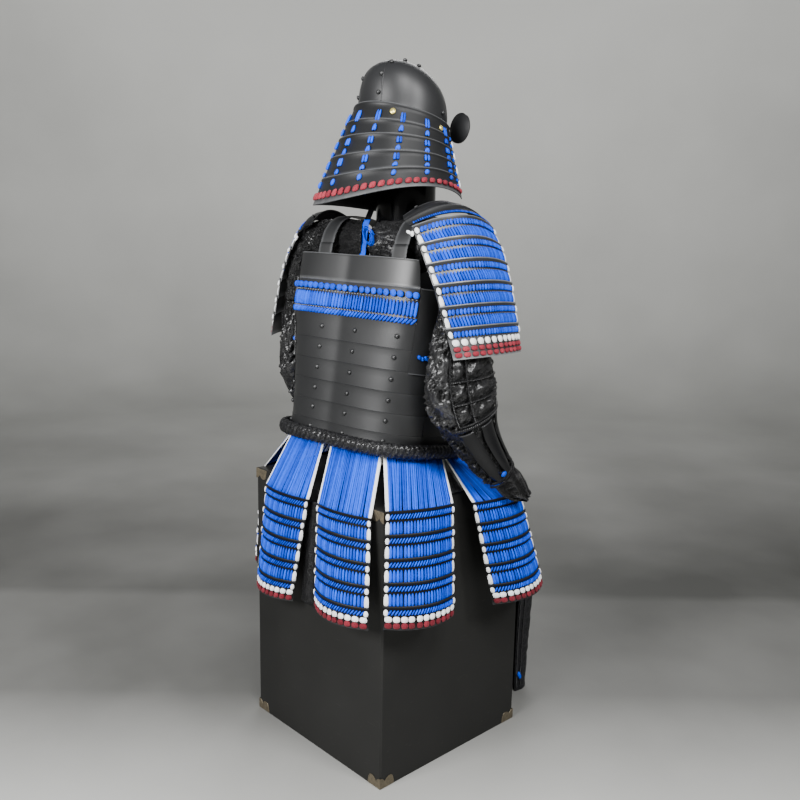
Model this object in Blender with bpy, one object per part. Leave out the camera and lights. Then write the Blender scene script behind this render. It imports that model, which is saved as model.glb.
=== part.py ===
"""Samurai armour set on its storage box, built from its own pieces.

The armour faces -Y, its right arm is on -X and the floor is z = 0, with the origin under the box.
A leaning empty carries the cuirass and a nodding empty carries the helmet bowl.  Plates, sleeves,
lacing curtains and straps are thin walls between an outer and an inner grid of points; the grids
come from rings, sections and short tables of sizes.  All lengths are in metres, angles in degrees.
"""
import math

import bmesh
import bpy
import numpy as np
from mathutils import Euler, Matrix

# Box stand.
BOX_WIDTH = 0.470
BOX_DEPTH = 0.455
BOX_HEIGHT = 0.645
BOX_WALL = 0.012
BOX_YAW = -7.8
LID_HEIGHT = 0.070
POST_RADIUS = 0.017
POST_FLANGE = 0.045
POST_BACK = -0.020
BAR_HEIGHT = 1.208
BAR_HALF = 0.012
BAR_REACH = 0.175
BAR_LOBE = 0.036
BAR_DEPTHS = (-0.085, 0.062, 0.088)  # front of the middle lobe, front and back of the arms
HEAD_RADIUS = 0.070
HEAD_BACK = -0.048
HEAD_CROWN = 1.560
HEAD_DOME = 0.055

# Cuirass: the waist ring, its lean and its plates.
WAIST = (0.0, 0.062, 0.737)
LEAN_FORWARD = 8.7
LEAN_SIDE = -1.3
DO_HEIGHT = 0.417
DO_LAME_LINES = (0.0, 0.040, 0.085, 0.131, 0.178, 0.225, 0.284)
PLATE = 0.0022
LAME_STEP = 0.0012
LAME_RUN = 0.0004
RIDGE_HIGH = 0.004
RIDGE_REACH = 0.030
BELT_HIGH = 0.0170
BELT_DEEP = 0.0120
BELT_RISE = 0.007

# Helmet: the bowl's base ring and the neck guard's rim ring.
BOWL_CENTRE = (0.0, -0.029, 1.474)
BOWL_RADIUS = 0.104
BOWL_RATIO = 1.08
BOWL_INSET = 0.003
BOWL_HEIGHT = 0.120
BOWL_NOD = 14.0
BOWL_ROLL = -1.8
CROWN_BACK = 0.0325
RIM_CENTRE = (0.002, 0.014, 1.287)
RIM_RADIUS = 0.1650
RIM_NOD = 4.0
RIM_ROLL = 5.9
RIM_SAG = 0.0135  # the rim hangs lower at the nape and lifts over the shoulders
HELMET_TURN = -9.0  # the helmet faces a little to the wearer's right
VISOR_SPAN = 33.0
GUARD_SPAN = 128.0
GUARD_LINES = (0.0, 0.155, 0.318, 0.514, 0.724, 1.0)

GAP = 0.0003
CLOTH = 0.0022

BLACK_LACQUER = ("black_lacquer", (0.030, 0.030, 0.032), 0.42, 0.0)
BLACK_BROCADE = ("black_brocade", (0.012, 0.012, 0.014), 0.60, 0.0)
BLUE_LACING = ("blue_lacing", (0.045, 0.150, 0.620), 0.62, 0.0)
BOX_LACQUER = ("box_lacquer", (0.020, 0.020, 0.021), 0.48, 0.0)
STAND_GLOSS = ("stand_gloss", (0.008, 0.008, 0.009), 0.22, 0.0)


def material(look):
    """The named Principled material, made once and shared."""
    name, colour, roughness, metallic = look
    made = bpy.data.materials.get(name)
    if made is None:
        made = bpy.data.materials.new(name)
        made.use_nodes = True
        shader = made.node_tree.nodes["Principled BSDF"]
        shader.inputs["Base Color"].default_value = (*colour, 1.0)
        shader.inputs["Roughness"].default_value = roughness
        shader.inputs["Metallic"].default_value = metallic
    return made


def solid(name, points, faces, look, parent=None, edge=35.0):
    """One closed body, its faces turned outward, under its parent's frame."""
    mesh = bpy.data.meshes.new(name)
    mesh.from_pydata([tuple(map(float, point)) for point in points], [], faces)
    work = bmesh.new()
    work.from_mesh(mesh)
    bmesh.ops.recalc_face_normals(work, faces=work.faces)
    work.to_mesh(mesh)
    work.free()
    mesh.shade_smooth()
    mesh.set_sharp_from_angle(angle=math.radians(edge))
    mesh.materials.append(material(look))
    made = bpy.data.objects.new(name, mesh)
    bpy.context.collection.objects.link(made)
    made.parent = parent
    return made


def wall(name, outer, inner, look, wrap=False, parent=None):
    """A thin wall between two grids of rows and columns, closed along every free border."""
    rows, columns = outer.shape[:2]
    points = np.concatenate([outer.reshape(-1, 3), inner.reshape(-1, 3)])
    layer = rows * columns
    spans = columns if wrap else columns - 1
    faces = []
    for row in range(rows - 1):
        for column in range(spans):
            a = row * columns + column
            b = row * columns + (column + 1) % columns
            faces.append((a, b, b + columns, a + columns))
            faces.append((layer + a, layer + a + columns, layer + b + columns, layer + b))
    for row, flip in ((0, False), (rows - 1, True)):
        for column in range(spans):
            a = row * columns + column
            b = row * columns + (column + 1) % columns
            rim = (a, layer + a, layer + b, b)
            faces.append(rim[::-1] if flip else rim)
    if not wrap:
        for column, flip in ((0, True), (columns - 1, False)):
            for row in range(rows - 1):
                a = row * columns + column
                rim = (a, layer + a, layer + a + columns, a + columns)
                faces.append(rim[::-1] if flip else rim)
    return solid(name, points, faces, look, parent)


def frame_matrix(place, turn):
    """The matrix of a frame at a place, turned by Euler angles in degrees."""
    return Matrix.Translation(place) @ Euler([math.radians(angle) for angle in turn]).to_matrix().to_4x4()


def frame_empty(name, place, turn):
    """A named empty whose frame carries the pieces parented to it."""
    made = bpy.data.objects.new(name, None)
    made.matrix_world = frame_matrix(place, turn)
    bpy.context.collection.objects.link(made)
    return made


def moved(points, matrix):
    """Points carried through a matrix."""
    turn = np.array(matrix.to_3x3())
    return points @ turn.T + np.array(matrix.translation)


# ---------------------------------------------------------------- box stand

def square_ring(half_x, half_y, height, corner=0.004):
    """The eight points of a chamfered rectangle at a height."""
    return np.array([
        (half_x - corner, half_y, height), (half_x, half_y - corner, height),
        (half_x, corner - half_y, height), (half_x - corner, -half_y, height),
        (corner - half_x, -half_y, height), (-half_x, corner - half_y, height),
        (-half_x, half_y - corner, height), (corner - half_x, half_y, height)])


def cup(name, rings, look, parent):
    """A closed body through rings of equal count, capped at the first and the last ring."""
    count = len(rings[0])
    faces = [tuple(range(count))[::-1]]
    for ring in range(len(rings) - 1):
        for step in range(count):
            a = ring * count + step
            b = ring * count + (step + 1) % count
            faces.append((a, b, b + count, a + count))
    last = (len(rings) - 1) * count
    faces.append(tuple(range(last, last + count)))
    return solid(name, np.concatenate(rings), faces, look, parent)


def box_stand():
    """The hollow storage box with its cap lid."""
    frame = frame_empty("box_frame", (0.0, 0.0, 0.0), (0.0, 0.0, BOX_YAW))
    half_x = BOX_WIDTH / 2
    half_y = BOX_DEPTH / 2
    inner_x = half_x - BOX_WALL
    inner_y = half_y - BOX_WALL
    rim = BOX_HEIGHT - BOX_WALL - GAP
    step = BOX_HEIGHT - LID_HEIGHT
    lip = BOX_WALL / 2
    cup("stand_box", [
        square_ring(half_x, half_y, 0.0), square_ring(half_x, half_y, step - GAP),
        square_ring(half_x - lip - GAP, half_y - lip - GAP, step - GAP),
        square_ring(half_x - lip - GAP, half_y - lip - GAP, rim),
        square_ring(inner_x, inner_y, rim), square_ring(inner_x, inner_y, BOX_WALL)],
        BOX_LACQUER, frame)
    cup("stand_lid", [
        square_ring(half_x, half_y, step), square_ring(half_x, half_y, BOX_HEIGHT - 0.003),
        square_ring(half_x - 0.003, half_y - 0.003, BOX_HEIGHT)][::-1] + [
        square_ring(half_x - lip, half_y - lip, step),
        square_ring(half_x - lip, half_y - lip, BOX_HEIGHT - BOX_WALL)],
        BOX_LACQUER, frame)


def turned(name, profile, look, place, sides=20):
    """A solid of revolution about Z through (radius, height) pairs, closed on its axis."""
    angles = np.arange(sides) / sides * 2 * math.pi
    circle = np.stack([np.cos(angles), np.sin(angles), np.zeros(sides)], 1)
    rings = [circle * radius + (0.0, 0.0, height) + np.array(place) for radius, height in profile]
    return cup(name, rings, look, None)


def inner_stand():
    """The post, the shoulder bar and the neck and head block that hold the armour up."""
    foot = BOX_HEIGHT + GAP
    flange_top = foot + 0.010
    neck = flange_top + 0.006
    top = BAR_HEIGHT - BAR_HALF - GAP
    turned("stand_post", [
        (POST_FLANGE, foot), (POST_FLANGE, flange_top), (POST_RADIUS, neck), (POST_RADIUS, top)],
        STAND_GLOSS, (0.0, POST_BACK, 0.0), 16)
    front, arm_front, arm_back = BAR_DEPTHS
    outline = [(BAR_LOBE, front), (BAR_LOBE, arm_front), (BAR_REACH, arm_front), (BAR_REACH, arm_back),
               (-BAR_REACH, arm_back), (-BAR_REACH, arm_front), (-BAR_LOBE, arm_front), (-BAR_LOBE, front)]
    rings = [np.array([(x, y, z) for x, y in outline])
             for z in (BAR_HEIGHT - BAR_HALF, BAR_HEIGHT + BAR_HALF)]
    bar = cup("stand_shoulder_bar", rings, STAND_GLOSS, None)
    soften = bar.modifiers.new("Bevel", "BEVEL")
    soften.width = 0.004
    soften.segments = 2
    base = BAR_HEIGHT + BAR_HALF + GAP
    steps = np.radians(np.linspace(0.0, 78.0, 6))
    cap = [(HEAD_RADIUS * math.cos(step), HEAD_CROWN - HEAD_DOME * (1 - math.sin(step))) for step in steps]
    turned("stand_head", [(0.75 * HEAD_RADIUS, base), (HEAD_RADIUS, base + 0.012)] + cap,
           STAND_GLOSS, (0.0, HEAD_BACK, 0.0), 24)


# ---------------------------------------------------------------- cuirass

DO_RINGS = {  # height above the waist: half width, half depth and the squareness of the corners
    "height": (-0.020, 0.000, 0.100, 0.200, 0.300, 0.417, 0.460),
    "width": (0.186, 0.184, 0.188, 0.193, 0.199, 0.197, 0.194),
    "depth": (0.151, 0.150, 0.150, 0.150, 0.150, 0.148, 0.146),
    "power": (3.2, 3.2, 3.3, 3.8, 4.8, 5.0, 5.0),
}


def do_points(angle, height, offset=0.0):
    """Points of the cuirass section: angle 0 at the spine, +90 at the right side, moved out."""
    angle = np.radians(angle)
    width = np.interp(height, DO_RINGS["height"], DO_RINGS["width"]) + offset
    depth = np.interp(height, DO_RINGS["height"], DO_RINGS["depth"]) + offset
    sine = np.sin(angle)
    cosine = np.cos(angle)
    round_off = 2.0 / np.interp(height, DO_RINGS["height"], DO_RINGS["power"])
    across = -np.sign(sine) * np.abs(sine) ** round_off * width
    along = np.sign(cosine) * np.abs(cosine) ** round_off * depth
    ridge = RIDGE_HIGH * (np.exp(-np.abs(across) / RIDGE_REACH) - 0.5)
    along = along + np.sign(cosine) * ridge
    return np.stack([across, along, np.broadcast_to(height, across.shape)], -1)


def do_grid(start, end, heights, offsets, columns):
    """A grid on the cuirass between two angles, a row for each height with its own offset."""
    angles = np.linspace(start, end, columns)
    return np.stack([do_points(angles, height, offset) for height, offset in zip(heights, offsets)])


def lame_rows(lines):
    """Heights and steps of riveted lames, top to bottom: each lower lame's top edge stands proud."""
    heights = []
    steps = []
    for upper, lower in zip(lines[:-1], lines[1:]):
        heights += [upper - LAME_RUN, lower]
        steps += [LAME_STEP, 0.0]
    return heights, steps


def cuirass(torso):
    """Back and front halves: a smooth upper plate, a laced band and riveted lames."""
    lines = DO_LAME_LINES[::-1]
    heights, steps = lame_rows(lines)
    seam = {"back": (-86.0, 80.0), "front": (80.6, 273.4)}
    for half, (start, end) in seam.items():
        outer = do_grid(start, end, heights, [PLATE + step for step in steps], 17)
        inner = do_grid(start, end, heights, [0.0] * len(heights), 17)
        wall(f"do_{half}_lames", outer, inner, BLACK_LACQUER, parent=torso)
    top = DO_HEIGHT
    under = DO_LAME_LINES[-1] + GAP
    for half, centre, spread in (("back", 0.0, (44.0, 47.0, 51.0, 52.0)), ("front", 180.0, (52.0, 55.0, 62.0, 64.0))):
        levels = np.array([top, top - 0.016, top - 0.060, under])
        grids = []
        for offset in (PLATE, 0.0):
            rows = [do_points(centre + np.linspace(-span, span, 15), level, offset)
                    for span, level in zip(spread, levels)]
            grids.append(np.stack(rows))
        wall(f"do_{half}_upper", grids[0], grids[1], BLACK_LACQUER, parent=torso)


SIDE_PLATE = {  # level: height, rear angle, front angle
    "height": (0.358, 0.300, 0.240, 0.175),
    "rear": (51.5, 52.0, 52.0, 52.0),
    "front": (112.0, 116.0, 118.0, 118.0),
}


def side_plates(torso):
    """The plates under the arms, laid over the seam of back and front on each side."""
    for side, name in ((1, "right"), (-1, "left")):
        grids = []
        base = PLATE + LAME_STEP + 2 * GAP
        for offset in (base + 0.0020, base):
            rows = [do_points(side * np.linspace(rear, front, 9), height, offset)
                    for height, rear, front in zip(*SIDE_PLATE.values())]
            grids.append(np.stack(rows))
        wall(f"do_side_plate_{name}", grids[0], grids[1], BLACK_LACQUER, parent=torso)


STRAP = {  # the straps' line from the back plate over the shoulder to the front plate
    "x": (0.110, 0.110, 0.110, 0.110, 0.111, 0.112, 0.112, 0.112),
    "y": (0.134, 0.128, 0.112, 0.082, 0.030, -0.050, -0.108, -0.137),
    "z": (1.140, 1.180, 1.222, 1.249, 1.257, 1.240, 1.185, 1.135),
}
STRAP_SHIFT = -0.018
STRAP_ACROSS = (-0.020, -0.006, 0.006, 0.020)
STRAP_THICK = 0.0026


def shoulder_straps():
    """Two stiff straps from the back plate over the shoulders to the front plate."""
    for side, name in ((-1, "right"), (1, "left")):
        centre = np.stack([side * np.array(STRAP["x"]) + STRAP_SHIFT, STRAP["y"], STRAP["z"]], 1)
        along = np.gradient(centre, axis=0)
        along /= np.linalg.norm(along, axis=1, keepdims=True)
        normal = np.stack([np.zeros(len(along)), -along[:, 2], along[:, 1]], 1)
        normal *= np.where(normal[:, 2:] < 0, -1.0, 1.0)
        normal[0] = (0.0, 1.0, 0.1)
        normal[-1] = (0.0, -1.0, 0.1)
        across = np.outer(STRAP_ACROSS, (1.0, 0.0, 0.0))
        grids = []
        for lift in (STRAP_THICK, 0.0):
            rows = centre + normal * lift
            grids.append(rows[:, None] + across[None])
        wall(f"watagami_{name}", grids[0], grids[1], BLACK_LACQUER)


def belt(torso):
    """The padded cloth roll tied round the waist over the cuirass's lower edge."""
    angles = np.linspace(0.0, 360.0, 40, endpoint=False)
    sides = 8
    around = np.radians(np.arange(sides) * 360.0 / sides)
    clear = PLATE + LAME_STEP + BELT_DEEP + 2 * GAP
    rows = []
    for turn in around:
        height = BELT_RISE + BELT_HIGH * math.sin(turn)
        rows.append(do_points(angles, height, clear + BELT_DEEP * math.cos(turn)))
    points = np.stack(rows)
    count = len(angles)
    faces = []
    for ring in range(sides):
        for step in range(count):
            a = ring * count + step
            b = ring * count + (step + 1) % count
            c = (ring + 1) % sides * count
            faces.append((a, b, c + (step + 1) % count, c + step))
    solid("waist_belt", points.reshape(-1, 3), faces, BLACK_BROCADE, torso)


# ---------------------------------------------------------------- laced panels

def panel_grid(path, across_steps, down_steps, offsets):
    """Rows of a hanging panel.

    The path's columns give, down the middle line, the place, the yaw of its face (0 faces +Y,
    +90 faces -X), the tilt of its face upward, the width and the sag of the ends behind the middle.
    """
    down = np.asarray(down_steps)
    at = path["down"]
    centre = np.stack([np.interp(down, at, path[axis]) for axis in ("x", "y", "z")], 1)
    yaw = np.radians(np.interp(down, at, path["yaw"]))
    tilt = np.radians(np.interp(down, at, path["tilt"]))
    half = np.interp(down, at, path["width"]) / 2
    sag = np.interp(down, at, path["sag"])
    level = np.stack([-np.sin(yaw), np.cos(yaw), np.zeros(len(yaw))], 1)
    face = level * np.cos(tilt)[:, None] + np.array([0.0, 0.0, 1.0]) * np.sin(tilt)[:, None]
    across = np.stack([-np.cos(yaw), -np.sin(yaw), np.zeros(len(yaw))], 1)
    steps = np.linspace(-1.0, 1.0, across_steps)
    grid = centre[:, None] + across[:, None] * (half[:, None] * steps)[..., None]
    grid -= face[:, None] * (sag[:, None] * steps ** 2)[..., None]
    bend = 2 * sag / half
    normal = face[:, None] + across[:, None] * (bend[:, None] * steps)[..., None]
    normal /= np.linalg.norm(normal, axis=2, keepdims=True)
    return grid + normal * np.asarray(offsets)[:, None, None]


LAME_LEDGE = 0.003  # run of a lame's top ledge, as a share of the panel


def lame_stack(name, path, lines, across_steps, look, thick=0.0028, step=0.0024):
    """A panel of overlapping lames in one wall: each lower lame's top edge stands proud."""
    down = []
    lift = []
    for upper, lower in zip(lines[:-1], lines[1:]):
        down += [upper + LAME_LEDGE, lower]
        lift += [step, 0.0]
    down[0] = 0.0
    outer = panel_grid(path, across_steps, down, [thick + rise for rise in lift])
    inner = panel_grid(path, across_steps, down, [0.0] * len(down))
    return wall(name, outer, inner, look)


SODE_PATH = {  # shoulder guard, from its first lame down: reach is the distance from the midline
    "right": {"down": (0.0, 0.25, 0.5, 1.0), "reach": (0.240, 0.275, 0.302, 0.341),
              "y": (0.063, 0.061, 0.059, 0.054), "z": (1.257, 1.192, 1.118, 0.971),
              "yaw": (71, 75, 79, 84), "tilt": (40, 26, 16, 8),
              "width": (0.205, 0.222, 0.226, 0.222), "sag": (0.040, 0.038, 0.034, 0.030)},
    "left": {"down": (0.0, 0.25, 0.5, 1.0), "reach": (0.236, 0.274, 0.302, 0.342),
             "y": (0.012, 0.004, -0.003, -0.012), "z": (1.240, 1.180, 1.108, 0.965),
             "yaw": (84, 86, 88, 90), "tilt": (40, 26, 16, 8),
             "width": (0.205, 0.222, 0.226, 0.222), "sag": (0.040, 0.040, 0.038, 0.034)},
}


SODE_LINES = (0.0, 0.160, 0.320, 0.475, 0.630, 0.781, 1.0)
SODE_CAP = {  # the cap plate, from its inner edge down: inward of and above the first lame's top
    "down": (0.0, 0.5, 1.0), "inward": (0.052, 0.030, 0.004), "above": (0.030, 0.027, 0.007),
    "tilt": (72.0, 60.0, 44.0), "width": (0.150, 0.196, 0.212), "sag": (0.022, 0.034, 0.041),
}


def shoulder_guards():
    """The two large shoulder guards: a bent cap plate over a panel of six laced lames."""
    for name, side in (("right", -1), ("left", 1)):
        row = SODE_PATH[name]
        path = dict(row)
        path["x"] = tuple(side * reach for reach in row["reach"])
        path["yaw"] = tuple(-side * yaw for yaw in row["yaw"])
        lame_stack(f"sode_{name}", path, SODE_LINES, 11, BLACK_LACQUER)
        cap = dict(SODE_CAP, y=(row["y"][0],) * 3, yaw=(path["yaw"][0],) * 3)
        cap["x"] = side * (row["reach"][0] - np.array(SODE_CAP["inward"]))
        cap["z"] = row["z"][0] + np.array(SODE_CAP["above"])
        outer = panel_grid(cap, 11, SODE_CAP["down"], [PLATE] * 3)
        inner = panel_grid(cap, 11, SODE_CAP["down"], [0.0] * 3)
        wall(f"sode_cap_{name}", outer, inner, BLACK_LACQUER)


TASSETS = {  # each row: name, angles on the waist ring, then first lame and hem
    "back_left": {"ring": (-41.0, -1.2), "top": (0.108, 0.256, 0.628, -8, 0.166),
                  "hem": (0.154, 0.274, 0.370, -12, 0.150)},
    "back_right": {"ring": (0.2, 39.5), "top": (-0.095, 0.280, 0.631, -1, 0.158),
                   "hem": (-0.109, 0.323, 0.396, -6, 0.172)},
    "right": {"ring": (41.0, 95.5), "top": (-0.261, 0.200, 0.654, 63, 0.156),
              "hem": (-0.296, 0.227, 0.405, 65, 0.166)},
    "front_right": {"ring": (97.5, 146.0), "top": (-0.303, -0.036, 0.634, 80, 0.156),
                    "hem": (-0.354, -0.095, 0.387, 84, 0.186)},
    "front": {"ring": (150.0, 210.0), "top": (-0.022, -0.228, 0.679, 176, 0.160),
              "hem": (-0.030, -0.300, 0.410, 174, 0.180)},
    "front_left": {"ring": (214.0, 262.0), "top": (0.270, -0.104, 0.634, 253, 0.156),
                   "hem": (0.318, -0.134, 0.390, 252, 0.182)},
    "left": {"ring": (264.5, 317.0), "top": (0.301, 0.094, 0.634, 280, 0.150),
             "hem": (0.326, 0.112, 0.392, 284, 0.172)},
}
LACING_START = -0.0140
LACING_BACK = 0.0012
LACING_CLEAR = 0.0016
TASSET_LINES = (0.0, 0.2, 0.4, 0.6, 0.8, 1.0)
TASSET_SAG = (0.018, 0.034)


def tasset_path(row):
    """The path table of one tasset; the front one first lies over the box's upper edge."""
    x, y, z, yaw, width = (np.array(pair, dtype=float) for pair in zip(row["top"], row["hem"]))
    path = {"down": (0.0, 1.0), "x": x, "y": y, "z": z, "yaw": yaw, "width": width,
            "tilt": (8.0, 3.0), "sag": TASSET_SAG}
    if y[0] < -0.20:
        middle = (x[0], -0.270, 0.642, yaw[0], width.mean(), 22.0, 0.020)
        for column, value in zip(("x", "y", "z", "yaw", "width", "tilt", "sag"), middle):
            ends = path[column]
            path[column] = (ends[0], value, ends[1])
        path["down"] = (0.0, 0.20, 1.0)
        path["tilt"] = (48.0, 20.0, 3.0)
    return path


def tassets(torso_matrix):
    """Seven skirt panels, each hung from the cuirass by a curtain of long lacing."""
    for name, row in TASSETS.items():
        path = tasset_path(row)
        lame_stack(f"kusazuri_{name}", path, TASSET_LINES, 9, BLACK_LACQUER)
        start, end = row["ring"]
        head = do_points(np.linspace(start, end, 9), LACING_START, 0.0)
        head = moved(head, torso_matrix)
        foot = panel_grid(path, 9, (0.0,), (LACING_BACK,))[0] + (0.0, 0.0, LACING_CLEAR)
        drop = foot - head
        steps = np.array([0.0, 0.34, 0.67, 1.0])
        rows = head[None] + drop[None] * steps[:, None, None]
        outward = np.cross(np.gradient(head, axis=0), (0.0, 0.0, 1.0))
        middle = head.mean(0) - np.array(WAIST)
        outward /= np.linalg.norm(outward, axis=1, keepdims=True)
        if (outward * middle * (1, 1, 0)).sum() < 0:
            outward = -outward
        slope = np.cross(np.gradient(rows[1], axis=0), drop)
        slope /= np.linalg.norm(slope, axis=1, keepdims=True)
        slope *= np.sign((slope * outward).sum(1, keepdims=True))
        outer = rows + slope[None] * CLOTH
        wall(f"kusazuri_lacing_{name}", outer, rows, BLUE_LACING)


# ---------------------------------------------------------------- sleeves and hands

SLEEVES = {  # rings from the neck to the wrist: reach from the midline, height, half sizes
    "reach": (0.044, 0.122, 0.184, 0.235, 0.257, 0.263, 0.268, 0.272, 0.277, 0.287, 0.296, 0.303),
    "z": (1.193, 1.198, 1.206, 1.148, 1.062, 0.980, 0.908, 0.848, 0.798, 0.756, 0.722, 0.693),
    "y_right": (0.080, 0.047, 0.050, 0.060, 0.076, 0.085, 0.086, 0.076, 0.054, 0.030, 0.005, -0.022),
    "y_left": (0.080, 0.046, 0.042, 0.036, 0.024, 0.010, -0.004, -0.024, -0.056, -0.090, -0.122, -0.152),
    "rise": (0.055, 0.050, 0.038, 0.030, 0.035, 0.044, 0.056, 0.059, 0.052, 0.045, 0.040, 0.034),
    "breadth": (0.040, 0.058, 0.062, 0.062, 0.070, 0.081, 0.094, 0.084, 0.062, 0.051, 0.044, 0.037),
}


def sleeve_frames(name):
    """Centres, upward-outward axes and fore-and-aft axes of one sleeve's rings, and its sizes."""
    side = -1 if name == "right" else 1
    centre = np.stack([side * np.array(SLEEVES["reach"]), SLEEVES["y_" + name], SLEEVES["z"]], 1)
    along = np.gradient(centre, axis=0)
    along /= np.linalg.norm(along, axis=1, keepdims=True)
    fore = np.array([0.0, -1.0, 0.0]) - along * (along @ (0.0, -1.0, 0.0))[:, None]
    fore /= np.linalg.norm(fore, axis=1, keepdims=True)
    out = np.cross(along, fore)
    out *= np.sign(out[:, :1] * side + out[:, 2:] * 0.6)
    fore[0] = (side * 0.42, -0.9, 0.0)
    return centre, out, fore, np.array(SLEEVES["rise"]), np.array(SLEEVES["breadth"])


SLEEVE_SEAM = 4  # the ring where the shoulder piece ends and the sleeve starts


def sleeves():
    """Open cloth tubes: a shoulder piece from beside the neck, sewn to a sleeve down to the wrist."""
    angles = np.radians(np.arange(16) * 22.5)
    for name in ("right", "left"):
        centre, out, fore, rise, breadth = sleeve_frames(name)
        grids = []
        for inset in (0.0, CLOTH):
            ring = out[:, None] * ((rise - inset)[:, None] * np.cos(angles))[..., None]
            ring = ring + fore[:, None] * ((breadth - inset)[:, None] * np.sin(angles))[..., None]
            grids.append(centre[:, None] + ring)
        upper = [grid[:SLEEVE_SEAM + 1] for grid in grids]
        wall(f"kote_shoulder_{name}", *upper, BLACK_BROCADE, wrap=True)
        run = centre[SLEEVE_SEAM + 1] - centre[SLEEVE_SEAM]
        lower = [grid[SLEEVE_SEAM:].copy() for grid in grids]
        for grid in lower:
            grid[0] += run / np.linalg.norm(run) * GAP
        wall(f"kote_sleeve_{name}", *lower, BLACK_BROCADE, wrap=True)


SPLINTS = {"outer": -8.0, "rear": -52.0, "front": 36.0}


def splints():
    """Three long rounded plates on the outside of each forearm."""
    stations = np.linspace(7.45, 10.75, 6)
    for name in ("right", "left"):
        centre, out, fore, rise, breadth = sleeve_frames(name)
        index = np.arange(len(centre))

        def read(values, at):
            return np.stack([np.interp(at, index, values[:, axis]) for axis in range(3)], 1)

        middle = read(centre, stations)
        up = read(out, stations)
        forward = read(fore, stations)
        high = np.interp(stations, index, rise)
        wide = np.interp(stations, index, breadth)
        for plate, turn in SPLINTS.items():
            taper = np.array([0.80, 1.0, 1.0, 0.97, 0.86, 0.62])
            angles = np.radians(turn + np.outer(taper, np.linspace(-17.0, 17.0, 5)))
            crown = np.array([0.0, 0.0016, 0.0022, 0.0016, 0.0])
            grids = []
            for lift in (0.0026 + crown, np.full(5, 0.0006)):
                ring = up[:, None] * ((high[:, None] + lift) * np.cos(angles))[..., None]
                ring = ring + forward[:, None] * ((wide[:, None] + lift) * np.sin(angles))[..., None]
                grids.append(middle[:, None] + ring)
            wall(f"kote_splint_{plate}_{name}", grids[0], grids[1], BLACK_LACQUER)


def hand_covers():
    """A cloth hand cover hangs from each wrist, curved over where the back of the hand would be."""
    for name in ("right", "left"):
        centre, out, fore, rise, breadth = sleeve_frames(name)
        along = centre[-1] - centre[-2]
        along /= np.linalg.norm(along)
        start = centre[-1] + along * 0.002
        down = np.array([0.0, 0.030, 0.062, 0.094])
        half_angle = np.radians([84.0, 84.0, 76.0, 40.0])
        steps = np.linspace(-1.0, 1.0, 7)
        grids = []
        for inset in (0.0, CLOTH):
            rows = []
            for reach, span, scale in zip(down, half_angle, (1.0, 1.06, 1.0, 0.86)):
                angles = steps * span
                ring = out[-1] * ((rise[-1] * scale - inset) * np.cos(angles))[:, None]
                ring = ring + fore[-1] * ((breadth[-1] * scale - inset) * np.sin(angles))[:, None]
                rows.append(start + along * reach + ring)
            grids.append(np.stack(rows))
        wall(f"kote_hand_{name}", grids[0], grids[1], BLACK_BROCADE)


# ---------------------------------------------------------------- helmet

def helmet_ring(share, angle, offset=0.0):
    """A ring between the bowl's base (share 0) and the neck guard's rim (share 1), moved outward."""
    centre = np.array(BOWL_CENTRE) * (1 - share) + np.array(RIM_CENTRE) * share
    nod = math.radians(BOWL_NOD * (1 - share) + RIM_NOD * share)
    roll = math.radians(BOWL_ROLL * (1 - share) + RIM_ROLL * share)
    radius = BOWL_RADIUS * (1 - share) + RIM_RADIUS * share + offset * 0.92
    across = np.array([math.cos(roll), 0.0, -math.sin(roll)])
    back = np.array([0.0, math.cos(nod), math.sin(nod)])
    upward = np.array([0.0, 0.0, 1.0]) * offset * 0.30
    upward = upward - np.outer(share * RIM_SAG * np.cos(np.radians(2 * (angle - HELMET_TURN))), (0.0, 0.0, 1.0))
    angle = np.radians(angle)
    ring = across * (-np.sin(angle) * radius)[:, None]
    return centre + ring + back * (np.cos(angle) * radius * BOWL_RATIO)[:, None] + upward


def neck_guard():
    """Five lames fan out and down from the bowl; each lower lame laps outside the one above."""
    angles = HELMET_TURN + np.linspace(-GUARD_SPAN, GUARD_SPAN, 25)
    thick = 0.0018
    lap = 0.022
    proud = 0.0028
    for index in range(5):
        top = GUARD_LINES[index]
        low = GUARD_LINES[index + 1] + (lap if index < 4 else 0.0)
        shares = (top, (top + low) / 2, low)
        offsets = np.array([proud, proud / 2, 0.0])
        grids = []
        for depth in (thick, 0.0):
            rows = [helmet_ring(share, angles, offset + depth) for share, offset in zip(shares, offsets)]
            grids.append(np.stack(rows))
        wall(f"shikoro_{index + 1}", grids[0], grids[1], BLACK_LACQUER)


def bowl_radius(rise):
    """Bowl radius share at a height share of the crown."""
    return (1.0 - rise ** 2.85) ** 0.5


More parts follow.
